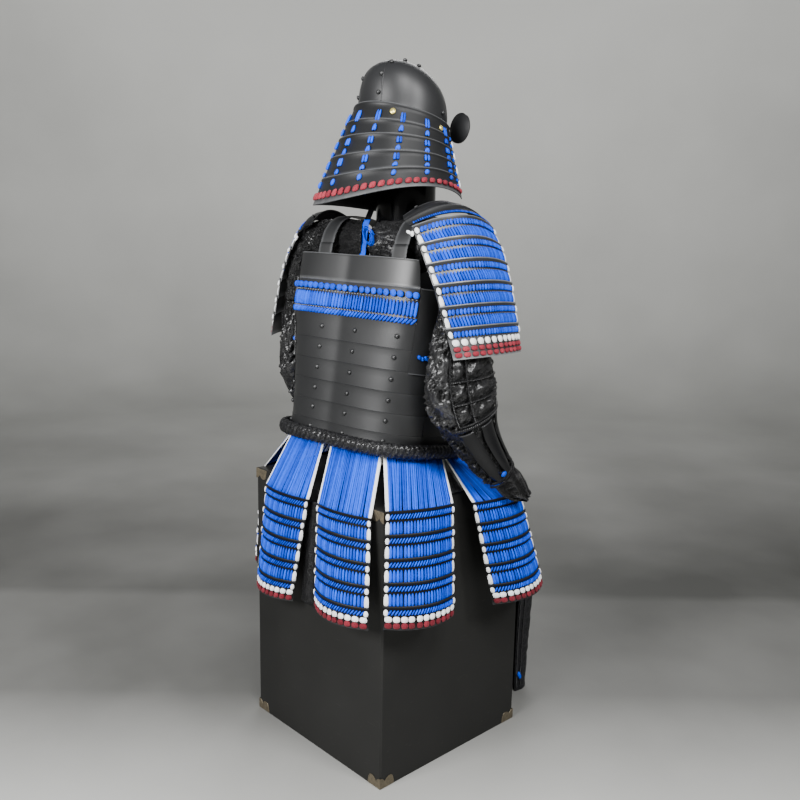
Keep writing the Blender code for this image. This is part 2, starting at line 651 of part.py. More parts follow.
def helmet_bowl():
    """The domed bowl, open below, hung on its own nodding frame."""
    frame = frame_empty("helmet_frame", BOWL_CENTRE, (BOWL_NOD, -BOWL_ROLL, 0.0))
    sides = 28
    angles = np.radians(np.arange(sides) / sides * 360.0)
    thick = 0.0022
    skirt = -0.006
    wide = BOWL_RADIUS - BOWL_INSET
    rises = np.sin(np.radians([0.0, 14.0, 28.0, 42.0, 56.0, 68.0, 79.0, 86.0]))
    grids = []
    for inset in (0.0, thick):
        ring = np.stack([np.sin(angles) * (wide - inset), np.cos(angles) * (wide * BOWL_RATIO - inset),
                         np.zeros(sides)], 1)
        rows = [ring + (0.0, 0.0, skirt)]
        for rise in rises:
            place = (0.0, CROWN_BACK * rise ** 1.5, rise * (BOWL_HEIGHT - inset))
            rows.append(ring * bowl_radius(rise) + place)
        grids.append(np.stack(rows))
    outer, inner = grids
    rows, columns = outer.shape[:2]
    layer = rows * columns
    points = np.concatenate([outer.reshape(-1, 3), inner.reshape(-1, 3),
                             [(0.0, CROWN_BACK, BOWL_HEIGHT), (0.0, CROWN_BACK, BOWL_HEIGHT - thick)]])
    faces = []
    for row in range(rows - 1):
        for column in range(columns):
            a = row * columns + column
            b = row * columns + (column + 1) % columns
            faces.append((a, b, b + columns, a + columns))
            faces.append((layer + a, layer + a + columns, layer + b + columns, layer + b))
    for column in range(columns):
        following = (column + 1) % columns
        faces.append((column, layer + column, layer + following, following))
        crown = (rows - 1) * columns
        faces.append((crown + column, crown + following, 2 * layer))
        faces.append((layer + crown + following, layer + crown + column, 2 * layer + 1))
    solid("hachi_bowl", points, faces, BLACK_LACQUER, frame)

    # Visor: a short curved brim across the front of the bowl's lower edge.
    share = np.linspace(-1.0, 1.0, 13)
    span = np.radians(HELMET_TURN + VISOR_SPAN * share)
    rows_out = []
    rows_in = []
    for reach, drop in ((0.0026, 0.000), (0.016, -0.006), (0.032, -0.020)):
        ends = reach * np.cos(share * 1.26).clip(0.12, 1.0) + 0.0016
        radius_x = BOWL_RADIUS + ends
        radius_y = BOWL_RADIUS * BOWL_RATIO + ends
        ring = np.stack([np.sin(span) * radius_x, -np.cos(span) * radius_y, np.full(13, drop)], 1)
        rows_out.append(ring + (0.0, 0.0, 0.0022))
        rows_in.append(ring)
    wall("mabizashi_visor", np.stack(rows_out), np.stack(rows_in), BLACK_LACQUER, parent=frame)


TURN_BACK = {"round": 134.2, "out": 0.1335, "height": 1.459, "facing": 81.5,
             "half_width": 0.0370, "half_height": 0.0345}


def turn_backs():
    """Round plates turned back from the front ends of the neck guard's first lame."""
    for side, name in ((1, "right"), (-1, "left")):
        place = math.radians(HELMET_TURN + side * TURN_BACK["round"])
        facing = math.radians(HELMET_TURN + side * TURN_BACK["facing"])
        middle = BOWL_CENTRE[1] + TURN_BACK["out"] * math.cos(place)
        centre = np.array([-TURN_BACK["out"] * math.sin(place), middle, TURN_BACK["height"]])
        wide = np.array([-math.sin(facing), math.cos(facing), 0.0])
        high = np.array([0.0, -0.10, 0.995])
        face = np.cross(wide, high)
        face *= np.sign(face[1])
        angles = np.radians(np.arange(20) * 18.0)
        rings = []
        for lift, scales in ((0.0011, (0.35, 0.72, 0.96, 1.0)), (-0.0011, (1.0, 0.96, 0.72, 0.35))):
            for scale in scales:
                edge = 0.0 if scale < 1.0 else 0.4
                bow = 0.0060 * (1.0 - scale ** 2)
                ring = centre + wide * (TURN_BACK["half_width"] * scale * np.cos(angles))[:, None]
                ring = ring + high * (TURN_BACK["half_height"] * scale * np.sin(angles))[:, None]
                rings.append(ring + face * (lift * (1 - edge) + bow))
        cup(f"fukigaeshi_{name}", rings, BLACK_LACQUER, None)


# ---------------------------------------------------------------- legs, ribbon and sash ends

def thigh_guards():
    """Two cloth aprons hang over the box's front edge behind the front tassets."""
    for name, x, front_yaw in (("right", -0.128, 172.2), ("left", 0.082, 172.2)):
        shift = math.tan(math.radians(-BOX_YAW)) * x
        path = {"down": (0.0, 0.10, 0.16, 1.0), "x": (x, x, x, x + 0.004),
                "y": (-0.186 - shift * 0.4, -0.224 - shift, -0.238 - shift, -0.246 - shift),
                "z": (0.656, 0.6535, 0.632, 0.262),
                "yaw": (front_yaw,) * 4, "tilt": (80.0, 55.0, 4.0, 0.0),
                "width": (0.180, 0.184, 0.186, 0.200), "sag": (0.0, 0.0, 0.0, 0.004)}
        down = (0.0, 0.10, 0.16, 0.35, 0.55, 0.78, 1.0)
        outer = panel_grid(path, 7, down, [CLOTH] * 7)
        inner = panel_grid(path, 7, down, [0.0] * 7)
        wall(f"haidate_{name}", outer, inner, BLACK_BROCADE)


SHIN = {"z": (0.0, 0.05, 0.14, 0.24, 0.32, 0.372, 0.400),
        "radius": (0.055, 0.056, 0.059, 0.063, 0.063, 0.061, 0.059),
        "span": (118.0, 120.0, 122.0, 122.0, 118.0, 100.0, 70.0)}


def shin_guards():
    """Two cloth-backed shin guards stand before the box, open at the calf."""
    for name, x in (("right", -0.150), ("left", 0.104)):
        middle = np.array([x, -0.336, 0.0])
        grids = []
        for inset in (0.0, 0.0030):
            rows = []
            for z, radius, span in zip(*SHIN.values()):
                angles = np.radians(np.linspace(-span, span, 15))
                ring = np.stack([np.sin(angles), -np.cos(angles), np.zeros(15)], 1) * (radius - inset)
                rows.append(middle + ring + (0.0, 0.0, z))
            grids.append(np.stack(rows))
        wall(f"suneate_{name}", grids[0], grids[1], BLACK_BROCADE)


def ribbon():
    """A flat ribbon falls from the helmet behind the neck and into the cuirass."""
    path = {"down": (0.0, 0.5, 1.0), "x": (0.0, 0.001, 0.002), "y": (0.048, 0.094, 0.112),
            "z": (1.315, 1.240, 1.150), "yaw": (0.0,) * 3, "tilt": (30.0, 20.0, 8.0),
            "width": (0.017,) * 3, "sag": (0.0,) * 3}
    down = (0.0, 0.25, 0.5, 0.75, 1.0)
    outer = panel_grid(path, 3, down, [0.0012] * 5)
    inner = panel_grid(path, 3, down, [0.0] * 5)
    wall("nape_ribbon", outer, inner, BLUE_LACING)


SASH_ENDS = {
    "back": {"x": (0.028, 0.036), "y": (0.238, 0.242), "z": (0.618, 0.366), "yaw": (-7.8, -7.8),
             "width": (0.046, 0.062)},
    "side": {"x": (-0.208, -0.238), "y": (0.056, 0.054), "z": (0.690, 0.652), "yaw": (80.0, 82.0),
             "width": (0.040, 0.042)},
}


def sash_ends():
    """Two flat ends of the black waist cloth show between the tassets."""
    for name, row in SASH_ENDS.items():
        path = dict(row, down=(0.0, 1.0), tilt=(0.0, 0.0), sag=(0.002, 0.002))
        down = (0.0, 0.33, 0.67, 1.0)
        outer = panel_grid(path, 4, down, [0.0018] * 4)
        inner = panel_grid(path, 4, down, [0.0] * 4)
        wall(f"sash_end_{name}", outer, inner, BLACK_BROCADE)


def build():
    """Clear the scene and make every piece."""
    for old in list(bpy.data.objects):
        bpy.data.objects.remove(old)
    torso_turn = (LEAN_FORWARD, LEAN_SIDE, 0.0)
    torso = frame_empty("torso_frame", WAIST, torso_turn)
    torso_matrix = frame_matrix(WAIST, torso_turn)
    box_stand()
    inner_stand()
    cuirass(torso)
    side_plates(torso)
    shoulder_straps()
    belt(torso)
    shoulder_guards()
    tassets(torso_matrix)
    sleeves()
    splints()
    hand_covers()
    helmet_bowl()
    neck_guard()
    turn_backs()
    thigh_guards()
    shin_guards()
    ribbon()
    sash_ends()


build()
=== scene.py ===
import math
from functools import partial

import bpy
import numpy as np
from mathutils import Euler, Matrix, Vector


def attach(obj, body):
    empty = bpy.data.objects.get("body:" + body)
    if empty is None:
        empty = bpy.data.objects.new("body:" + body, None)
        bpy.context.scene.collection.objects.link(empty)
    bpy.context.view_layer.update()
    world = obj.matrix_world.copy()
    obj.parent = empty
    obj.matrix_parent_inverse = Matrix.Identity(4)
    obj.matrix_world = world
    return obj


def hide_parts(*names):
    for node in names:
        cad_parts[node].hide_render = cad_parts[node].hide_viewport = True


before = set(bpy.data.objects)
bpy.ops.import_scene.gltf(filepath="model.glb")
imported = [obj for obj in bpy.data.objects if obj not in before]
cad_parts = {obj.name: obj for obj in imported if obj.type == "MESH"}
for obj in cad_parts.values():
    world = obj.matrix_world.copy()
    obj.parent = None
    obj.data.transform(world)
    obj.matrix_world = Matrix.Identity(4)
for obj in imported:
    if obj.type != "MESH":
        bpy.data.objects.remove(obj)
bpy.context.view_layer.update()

# ------------------------------------------------------------------ the view
# The suit is seen from behind its right arm and from the height of its shoulders, by a normal lens
# that looks a little down.
CAMERA_PLACE = (-1.3423, 1.6188, 1.2225)
CAMERA_LENS = 39.825
CAMERA_SENSOR = 36.0
CAMERA_DOWN, CAMERA_BEARING, CAMERA_ROLL = (math.radians(turn) for turn in (10.75, 219.0, 1.0))

camera_data = bpy.data.cameras.new("studio_camera")
camera_data.lens = CAMERA_LENS
camera_data.sensor_width = CAMERA_SENSOR
camera = bpy.data.objects.new("studio_camera", camera_data)
camera.location = CAMERA_PLACE
aim = Euler((math.pi / 2 - CAMERA_DOWN, 0.0, CAMERA_BEARING)).to_matrix()
camera.rotation_euler = (aim @ Matrix.Rotation(CAMERA_ROLL, 3, "Z")).to_euler()
bpy.context.scene.collection.objects.link(camera)
bpy.context.scene.camera = camera


# ------------------------------------------------------------------ floor, backdrop and light
# A pale painted floor turns up into a stained grey backdrop all round, with a painted pool of light
# underfoot and painted shade in its corners and at its sides. Softboxes stand behind the suit,
# high over the view and at the suit's right, a weak one in front, under a dim open sky.
def plug(tree, socket, value):
    """Link a reading to a socket, or set the socket's own number or colour."""
    if isinstance(value, Reading):
        tree.links.new(value.socket, socket)
    elif isinstance(value, tuple) and len(value) == 3 and socket.type == "RGBA":
        socket.default_value = (*value, 1.0)
    else:
        socket.default_value = value


def overload(operation, reflected=False):
    """A Math node as an operator; reflected, the other value comes first."""
    def work(self, other):
        return self.math(operation, *((other, self) if reflected else (self, other)))
    return work


class Reading:
    """A socket inside a shader; arithmetic on it adds the Math node that works it out."""
    __add__, __radd__ = overload("ADD"), overload("ADD", True)
    __sub__, __rsub__ = overload("SUBTRACT"), overload("SUBTRACT", True)
    __mul__, __rmul__ = overload("MULTIPLY"), overload("MULTIPLY", True)
    __pow__ = overload("POWER")

    def __init__(self, tree, socket):
        self.tree = tree
        self.socket = socket

    def math(self, operation, *values):
        """A Math node of that operation on readings or plain numbers."""
        node = self.tree.nodes.new("ShaderNodeMath")
        node.operation = operation
        for socket, value in zip(node.inputs, values):
            plug(self.tree, socket, value)
        return Reading(self.tree, node.outputs[0])

    def __abs__(self):
        return self.math("ABSOLUTE", self)

    def sine(self):
        return self.math("SINE", self)

    def over(self, limit):
        """1 where the reading is above the limit, else 0."""
        return self.math("GREATER_THAN", self, limit)

    def held(self):
        """The reading kept between 0 and 1."""
        return self.math("MINIMUM", self.math("MAXIMUM", self, 0.0), 1.0)


class Finish:
    """A named material, with the slot it belongs to and the angle past which its edges are sharp."""

    def __init__(self, name, fixed, slot=None, crease=40.0):
        self.slot = slot
        self.crease = crease
        self.material = bpy.data.materials.new(name)
        self.material.use_nodes = True
        self.tree = self.material.node_tree
        self.shader = self.tree.nodes["Principled BSDF"]
        self.set(fixed)
        self.place = self.node("ShaderNodeTexCoord", output="Object")

    def set(self, values):
        """Give the shader's own sockets their values or readings."""
        for socket, value in values.items():
            plug(self.tree, self.shader.inputs[socket], value)

    def node(self, kind, settings=None, inputs=None, output=0):
        """A node of that kind: its settings first, then the values or readings of its sockets."""
        node = self.tree.nodes.new(kind)
        for key, value in (settings or {}).items():
            setattr(node, key, value)
        for key, value in (inputs or {}).items():
            plug(self.tree, node.inputs[key], value)
        return Reading(self.tree, node.outputs[output])

    def noise(self, scale, detail=2.0, place=None, output="Fac"):
        """Cloudy noise, its features about 1 / scale metres wide."""
        inputs = {"Vector": place or self.place, "Scale": scale, "Detail": detail}
        return self.node("ShaderNodeTexNoise", {}, inputs, output)

    def mark(self, name, output="Fac"):
        """A value that the piece's own points carry."""
        return self.node("ShaderNodeAttribute", {"attribute_name": name}, {}, output)

    def parts(self, vector):
        """The three numbers of a vector."""
        return [self.node("ShaderNodeSeparateXYZ", {}, {0: vector}, number) for number in range(3)]

    def blend(self, mask, first, second):
        """The first colour where the mask is 0, the second where it is 1."""
        return self.node("ShaderNodeMix", {"data_type": "RGBA"}, {0: mask, 6: first, 7: second}, 2)

    def relief(self, height, distance):
        """A bump of that height reading, so many metres deep."""
        self.set({"Normal": self.node("ShaderNodeBump", {}, {"Height": height, "Distance": distance})})


def joined(*parts):
    """Arrays broadcast together and stacked on a last axis, as x, y and z make places."""
    return np.stack(np.broadcast_arrays(*parts), -1)


def grid_faces(rows, columns, loop_rows=False, loop_columns=False):
    """Quads between neighbours of a grid numbered row by row; a looped side joins last to first."""
    row = np.arange(rows if loop_rows else rows - 1)[:, None]
    column = np.arange(columns if loop_columns else columns - 1)[None]
    next_row = (row + 1) % rows * columns
    next_column = (column + 1) % columns
    row = row * columns
    return joined(row + column, row + next_column, next_row + next_column, next_row + column).reshape(-1, 4)


def body(points, *faces, **marks):
    """One closed or open surface: its points, its arrays of faces and the marks its points carry."""
    return {"points": np.asarray(points, dtype=float).reshape(-1, 3), "faces": list(faces), "marks": marks}


def new_mesh(name, bodies, finish, crease=None):
    """One smooth mesh object from bodies; a body whose signed volume is negative is turned outward."""
    faces = []
    start = 0
    for one in bodies:
        arms = one["points"] - one["points"].mean(0)
        volume = sum((arms[group[:, 0]] * np.cross(arms[group[:, last - 1]], arms[group[:, last]])).sum()
                     for group in one["faces"] for last in range(2, group.shape[1]))
        order = -1 if volume < 0 else 1
        for group in one["faces"]:
            faces += (group[:, ::order] + start).tolist()
        start += len(arms)
    mesh = bpy.data.meshes.new(name)
    mesh.from_pydata(np.concatenate([one["points"] for one in bodies]).tolist(), [], faces)
    for key in bodies[0]["marks"]:
        values = np.concatenate([one["marks"][key] for one in bodies]).astype(np.float32)
        kind, field = ("FLOAT_VECTOR", "vector") if values.ndim > 1 else ("FLOAT", "value")
        mesh.attributes.new(key, kind, "POINT").data.foreach_set(field, values.ravel())
    mesh.shade_smooth()
    mesh.set_sharp_from_angle(angle=math.radians(crease or finish.crease))
    mesh.materials.append(finish.material)
    made = bpy.data.objects.new(name, mesh)
    bpy.context.scene.collection.objects.link(made)
    return made


VIEW_SINE, VIEW_COSINE = 0.64, 0.77  # the level way from the camera through the suit
PAINT_DARK, PAINT_PALE = (0.040, 0.040, 0.037), (0.74, 0.74, 0.71)

studio_paint = Finish("studio_paint", {"Roughness": 0.62})
stain = studio_paint.noise(1.1, 6.0)
east, north, height = studio_paint.parts(studio_paint.place)
back = east * VIEW_SINE - north * VIEW_COSINE
side = abs(east * VIEW_COSINE + north * VIEW_SINE)
ring = (east * east + north * north) ** 0.5
facing = back.math("DIVIDE", back, ring + 0.01) * 0.5 + 0.5
# Painted light and shade: a pool of light paler underfoot than behind the suit, paler again up the
# backdrop, painted shade in the sweep's corners and darker toward its sides.
wear_and_painted_light = ((back * -1.0 + 0.10) * 1.1).held() * 0.55 + (1.0 - ((back - 0.72) * 14.0).held()) * 0.05
lifted = ((back - 0.9) * 0.115).held() + (height * 0.16).held()
corners = (1.0 - facing ** 5.0) * (height * 0.5).held() * 0.42
apart = ((side - back * 0.42 - 1.6) * 0.7).held()
tone = (wear_and_painted_light + lifted + 0.03 - corners) * (1.0 - apart) + apart * 0.34
mottled = (tone + (stain - 0.5) * 0.26).held()
studio_paint.set({"Base Color": studio_paint.blend(mottled, PAINT_DARK, PAINT_PALE)})

SWEEP_START, SWEEP_BEND, SWEEP_TOP, SWEEP_SIDES = 4.2, 1.6, 5.0, 96
bend = np.radians(np.linspace(0.0, 90.0, 17))[1:]
sweep_out = np.concatenate([[0.001, 1.5, 3.0, SWEEP_START], SWEEP_START + SWEEP_BEND * np.sin(bend),
                            [SWEEP_START + SWEEP_BEND] * 2])
sweep_up = np.concatenate([np.zeros(4), SWEEP_BEND - SWEEP_BEND * np.cos(bend), [3.0, SWEEP_TOP]])
around = np.radians(np.arange(SWEEP_SIDES) * 360.0 / SWEEP_SIDES)
sweep = joined(sweep_out[:, None] * np.cos(around), sweep_out[:, None] * np.sin(around), sweep_up[:, None])
sweep_faces = grid_faces(len(sweep_out), SWEEP_SIDES, loop_columns=True)
new_mesh("studio_floor", [body(sweep, sweep_faces)], studio_paint)

SKY_COLOUR, SKY_STRENGTH = (0.93, 0.97, 1.0, 1.0), 0.13
sky = bpy.data.worlds.new("studio_sky")
sky.use_nodes = True
sky.node_tree.nodes["Background"].inputs["Color"].default_value = SKY_COLOUR
sky.node_tree.nodes["Background"].inputs["Strength"].default_value = SKY_STRENGTH
bpy.context.scene.world = sky

SOFTBOXES = {  # name: place, height it faces on the suit's axis, width, height, power
    "softbox_key": ((0.22, 2.95, 2.0), 1.0, 1.5, 1.1, 215.0),
    "softbox_view": ((-2.4, 1.7, 3.8), 1.1, 1.3, 1.3, 190.0),
    "softbox_right": ((-3.0, 0.2, 2.9), 1.1, 0.8, 0.8, 120.0),
    "softbox_far": ((1.6, -2.6, 3.2), 1.0, 1.8, 1.4, 50.0),
}
for name, (place, aimed, width, height, power) in SOFTBOXES.items():
    lamp = bpy.data.lights.new(name, "AREA")
    lamp.shape = "RECTANGLE"
    lamp.size = width
    lamp.size_y = height
    lamp.energy = power
    lamp_object = bpy.data.objects.new(name, lamp)
    lamp_object.location = place
    way = Vector((0.0, 0.0, aimed)) - Vector(place)
    lamp_object.rotation_euler = way.to_track_quat("-Z", "Y").to_euler()
    bpy.context.scene.collection.objects.link(lamp_object)


# ------------------------------------------------------------------ storage box
# A square box of thin board with a cap lid carries the suit. It is sprayed satin black, a little
# scuffed, and cast bronze corner fittings are nailed over its corners.
BOX_SIZE = (0.470, 0.455, 0.645)
BOX_TURN = math.radians(-7.8)
FITTING_REACH = 0.042
FITTING_HIGH = 0.025
FITTING_FACES = (0.0002, 0.0010)
FITTING_FOOT = 0.0008


def lacquer(name, shade, rubbed, roughness, gloss, peel=0.00003, scratches=0.0, slot="black_lacquer",
            crease=50.0):
    """Sprayed lacquer: cloudy sheen, a fine grained bump, paler rubbed edges and a few scratches."""
    made = Finish(name, {"Specular IOR Level": gloss}, slot, crease)
    cloud = made.noise(7.0, 4.0)
    grain = made.noise(1400.0, 2.0)
    wear_and_painted_light = made.mark("rub") * (0.35 + 0.9 * made.noise(60.0, 3.0))
    stretched = made.node("ShaderNodeMapping", {}, {"Vector": made.place, "Scale": (3.0, 5.0, 60.0)})
    scratch = made.noise(9.0, 6.0, stretched).over(0.70) * scratches
    tint = (wear_and_painted_light + scratch + cloud * 0.12).held()
    made.set({"Base Color": made.blend(tint, shade, rubbed),
              "Roughness": roughness + (cloud - 0.5) * 0.10 - wear_and_painted_light * 0.10})
    made.relief(grain + made.noise(90.0, 2.0) * 1.5, peel)
    return made


box_lacquer = lacquer("box_satin_lacquer", (0.0085, 0.0085, 0.0080), (0.060, 0.059, 0.056), 0.50, 0.16,
                      scratches=0.30)
for node in ("stand_box", "stand_lid"):
    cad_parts[node].data.materials.clear()
    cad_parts[node].data.materials.append(box_lacquer.material)


def add(name, bodies, finish, *replaced, crease=None):
    """Make a piece and tie it to the suit: its body and the nodes it stands for."""
    made = new_mesh(name, bodies, finish, crease)
    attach(made, "root")
    if replaced:
        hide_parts(*replaced)
    return made


def wall(grid, **marks):
    """A closed wall. The grid's rows go once round its cut edge, its columns along it; the two ends
    are closed by strips between the rows of the face and those of the back."""
    rows, columns = grid.shape[:2]
    step = np.arange(rows // 2 - 1)
    strip = np.stack([step, step + 1, rows - 2 - step, rows - 1 - step], -1) * columns
    faces = np.concatenate([grid_faces(rows, columns, loop_rows=True), strip, strip[:, ::-1] + columns - 1])
    return body(grid, faces, **marks)


bronze = Finish("cast_bronze", {"Metallic": 0.85, "Specular IOR Level": 0.5}, "box_lacquer", 30.0)
patina = bronze.noise(160.0, 4.0)
bronze.set({"Base Color": bronze.blend(patina, (0.055, 0.048, 0.036), (0.24, 0.20, 0.135)),
            "Roughness": 0.42 + patina * 0.25})
bronze.relief(patina + bronze.noise(620.0, 2.0) * 0.5, 0.0005)

along = np.linspace(0.0, 1.0, 31)
scallop = 0.60 + 0.40 * np.abs(np.cos(along * math.pi * 1.5)) ** 0.7
scallop *= np.sqrt(1.0 - np.clip((along - 0.84) / 0.16, 0.0, 0.97) ** 2)
up = np.linspace(0.0, 1.0, 6)[:, None] * scallop * FITTING_HIGH
box_turn = np.array(Matrix.Rotation(BOX_TURN, 3, "Z"))
fittings = []
for corner_x in (-1, 1):
    for corner_y in (-1, 1):
        for foot, upward in ((FITTING_FOOT, 1), (BOX_SIZE[2] - FITTING_FOOT, -1)):
            for axis, sign, other in ((0, corner_x, corner_y), (1, corner_y, corner_x)):
                rows = []
                for lift in FITTING_FACES:
                    flat = np.zeros(up.shape + (3,))
                    flat[..., axis] = sign * (BOX_SIZE[axis] / 2 + lift - along * FITTING_REACH)
                    flat[..., 1 - axis] = other * (BOX_SIZE[1 - axis] / 2 + lift)
                    flat[..., 2] = foot + upward * up
                    rows.append(flat)
                fittings.append(wall(np.concatenate([rows[0], rows[1][::-1]]) @ box_turn.T))
add("box_corner_fittings", fittings, bronze)


# ------------------------------------------------------------------ post, shoulder bar and head block
# Turned and sawn wood under gloss black lacquer. The post screws to the lid, the bar carries the
# straps and sleeves, and the neck and head block holds the helmet.
POST = {"out": (0.012, 0.045, 0.045, 0.0425, 0.021, 0.017, 0.017, 0.012),
        "up": (0.6455, 0.6455, 0.6530, 0.6555, 0.6600, 0.6660, 1.1955, 1.1955)}
POST_BACK = -0.020
BAR_UP, BAR_HALF = 1.208, 0.012
BAR_HALF_OUTLINE = ((0.036, -0.085), (0.036, 0.062), (0.175, 0.062), (0.175, 0.088))
BAR_ROUNDING = 0.004
HEAD = {"out": (0.010, 0.0500, 0.0525, 0.0590, 0.0690, 0.0700, 0.0700),
        "up": (1.2205, 1.2205, 1.2220, 1.2280, 1.2350, 1.2450, 1.5050)}
HEAD_BACK = -0.048
HEAD_DOME = (0.070, 0.055)

stand_gloss = lacquer("stand_gloss_lacquer", (0.0035, 0.0035, 0.0042), (0.03, 0.03, 0.035), 0.16, 0.30,
                      0.00001, slot="stand_gloss", crease=40.0)


def turned(out, up, y, sides=64):
    """A solid of revolution: each (out, up) pair swept round a vertical axis, its ends closed flat."""
    out, up = np.array(out)[:, None], np.array(up)[:, None]
    angle = np.arange(sides) / sides * 2 * math.pi
    caps = np.stack([np.arange(sides), (len(out) - 1) * sides + np.arange(sides)[::-1]])
    return body(joined(out * np.cos(angle), y + out * np.sin(angle), up),
                grid_faces(len(out), sides, loop_columns=True), caps[:, ::-1])


add("stand_turned_post", [turned(POST["out"], POST["up"], POST_BACK)], stand_gloss, "stand_post")

dome = np.radians(np.linspace(4.0, 86.0, 12))
head_out = np.concatenate([HEAD["out"], HEAD_DOME[0] * np.cos(dome)])
head_up = np.concatenate([HEAD["up"], HEAD["up"][-1] + HEAD_DOME[1] * np.sin(dome)])
add("stand_head_block", [turned(head_out, head_up, HEAD_BACK)], stand_gloss, "stand_head")

bar_outline = np.array(BAR_HALF_OUTLINE + tuple((-x, y) for x, y in BAR_HALF_OUTLINE[::-1]))
bar_layers = [np.column_stack([bar_outline, np.full(8, BAR_UP + shift)]) for shift in (-BAR_HALF, BAR_HALF)]
bar_caps = np.array([np.arange(8)[::-1], np.arange(8, 16)])
bar = add("stand_bar", [body(bar_layers, grid_faces(2, 8, loop_columns=True), bar_caps)], stand_gloss,
          "stand_shoulder_bar")
soften = bar.modifiers.new("rounded_edges", "BEVEL")
soften.width = BAR_ROUNDING
soften.segments = 3


# ------------------------------------------------------------------ cuirass
# Thin steel lames riveted edge to edge make the back and the front; above them one laced lame and a
# smooth upper plate. All are sprayed satin black, and worn paler along their edges.
WAIST = (0.0, 0.062, 0.737)
TORSO_TURN = np.array(Euler((math.radians(8.7), math.radians(-1.3), 0.0)).to_matrix())
SECTION = {  # height above the waist: half width, half depth and the squareness of the corners
    "height": (-0.020, 0.000, 0.100, 0.200, 0.300, 0.417, 0.460),
    "width": (0.186, 0.184, 0.188, 0.193, 0.199, 0.197, 0.194),
    "depth": (0.151, 0.150, 0.150, 0.150, 0.150, 0.148, 0.146),
    "power": (3.2, 3.2, 3.3, 3.8, 4.8, 5.0, 5.0),
}
RIDGE_HIGH, RIDGE_REACH, RIDGE_SIDE = 0.0046, 0.030, 0.010
LAME_LINES = (0.2840, 0.225, 0.178, 0.131, 0.085, 0.040, 0.0)
PLATE, LAME_STEP = 0.0022, 0.0012  # a lame's thickness and how far its top stands over the next
RUBBED = 0.0016  # how far from an edge the lacquer is worn
UPPER = {"height": (0.417, 0.401, 0.357, 0.284),  # half the plate's reach, in section degrees
         "back": (44.0, 47.0, 51.0, 52.0), "front": (52.0, 55.0, 62.0, 64.0)}

satin_black = lacquer("satin_black_lacquer", (0.0045, 0.0047, 0.0051), (0.085, 0.087, 0.090), 0.43, 0.5)


def read(table, at, *keys):
    """The table's columns at places along its first column."""
    first = np.array(table[next(iter(table))])
    order = np.sign(first[-1] - first[0])
    return [np.interp(order * at, order * first, table[key]) for key in keys]


def section_bearing(angle, height):
    """The bearing, seen from the section's middle, of the corner that a section angle names."""
    angle = np.radians(angle)
    width, depth, power = read(SECTION, height, "width", "depth", "power")
    sine, cosine = np.sin(angle), np.cos(angle)
    return np.arctan2(np.sign(sine) * abs(sine) ** (2 / power) * width,
                      np.sign(cosine) * abs(cosine) ** (2 / power) * depth)


def cuirass_at(bearing, height, offset):
    """The cuirass wall: a rounded box section, |x/w|^p + |y/d|^p = 1, met at that bearing (0 at the
    spine, positive to the right arm), with a shallow furrow down the spine and a ridge in front."""
    width, depth, power = read(SECTION, height, "width", "depth", "power")
    width = width + offset
    depth = depth + offset
    sine, cosine = np.sin(bearing), np.cos(bearing)
    reach = (np.abs(sine / width) ** power + np.abs(cosine / depth) ** power) ** (-1 / power)
    across = -reach * sine
    along = reach * cosine
    share = np.clip(np.abs(along) / depth * 4.0 - 2.6, 0.0, 1.0)
    ridge = RIDGE_HIGH * np.exp(0.4 - np.hypot(across - RIDGE_SIDE, 0.012) / RIDGE_REACH) - RIDGE_HIGH / 2
    return joined(across, along - ridge * share, height) @ TORSO_TURN.T + np.array(WAIST)


def edge_loop(turns, backs, thicks, per_metre=1.0, round_steps=4, fill=1):
    """Once round a plate's cut edge: down its face, round the foot, up the back, round the top.
    turns are the heights from top to foot, backs the offsets of the back and thicks the thickness
    there; heights are per_metre to the metre. Returns the heights, the offsets and how rubbed each is."""
    rank = np.arange(len(turns))
    at = np.linspace(0, len(turns) - 1, (len(turns) - 1) * fill + 1)
    turns, backs, thicks = (np.interp(at, rank, values + rank * 0.0) for values in (turns, backs, thicks))
    sign = np.sign(turns[-1] - turns[0])
    arc = np.radians(np.linspace(90.0, -90.0, round_steps + 2)[1:-1])
    heights, offsets = [turns], [backs + thicks]
    for end, way in ((-1, 1), (0, -1)):
        radius = thicks[end] / 2
        heights.append(turns[end] + way * sign * np.cos(arc) * radius * per_metre)
        offsets.append(backs[end] + radius + way * np.sin(arc) * radius)
        if end == -1:
            heights.append(turns[::-1])
            offsets.append(backs[::-1])
    heights, offsets = np.concatenate(heights), np.concatenate(offsets)
    near = np.minimum(abs(heights - turns[0]), abs(heights - turns[-1])) / per_metre
    return heights, offsets, np.clip(1.0 - near / RUBBED, 0.0, 1.0)


def plate(surface, across, heights, offsets, rub):
    """A closed plate: the edge loop carried along a surface, worn where the loop says."""
    grid = surface(across[None], heights[:, None], offsets[:, None])
    return wall(grid, rub=np.repeat(rub, grid.shape[1]))


def bearings(start, end, height, count):
    """Bearings evenly spaced along the section between two section angles; they may pass behind."""
    first, last = section_bearing(np.array([start, end]), height)
    last += 2 * math.pi * (last < first)
    return np.linspace(first, last, count)


heights, thicks = [], []
for upper, lower in zip(LAME_LINES[:-1], LAME_LINES[1:]):
    heights += [upper - 0.0006, upper - 0.0050, lower + 0.0004]
    thicks += [PLATE + LAME_STEP, PLATE + 0.0006, PLATE - 0.0002]
lames = edge_loop(heights, 0.0, thicks, fill=3)
for name, start, end, count in (("back", -86.0, 80.0, 110), ("front", 80.6, 273.4, 120)):
    add(f"cuirass_{name}_lames", [plate(cuirass_at, bearings(start, end, 0.2, count), *lames)], satin_black,
        f"do_{name}_lames")

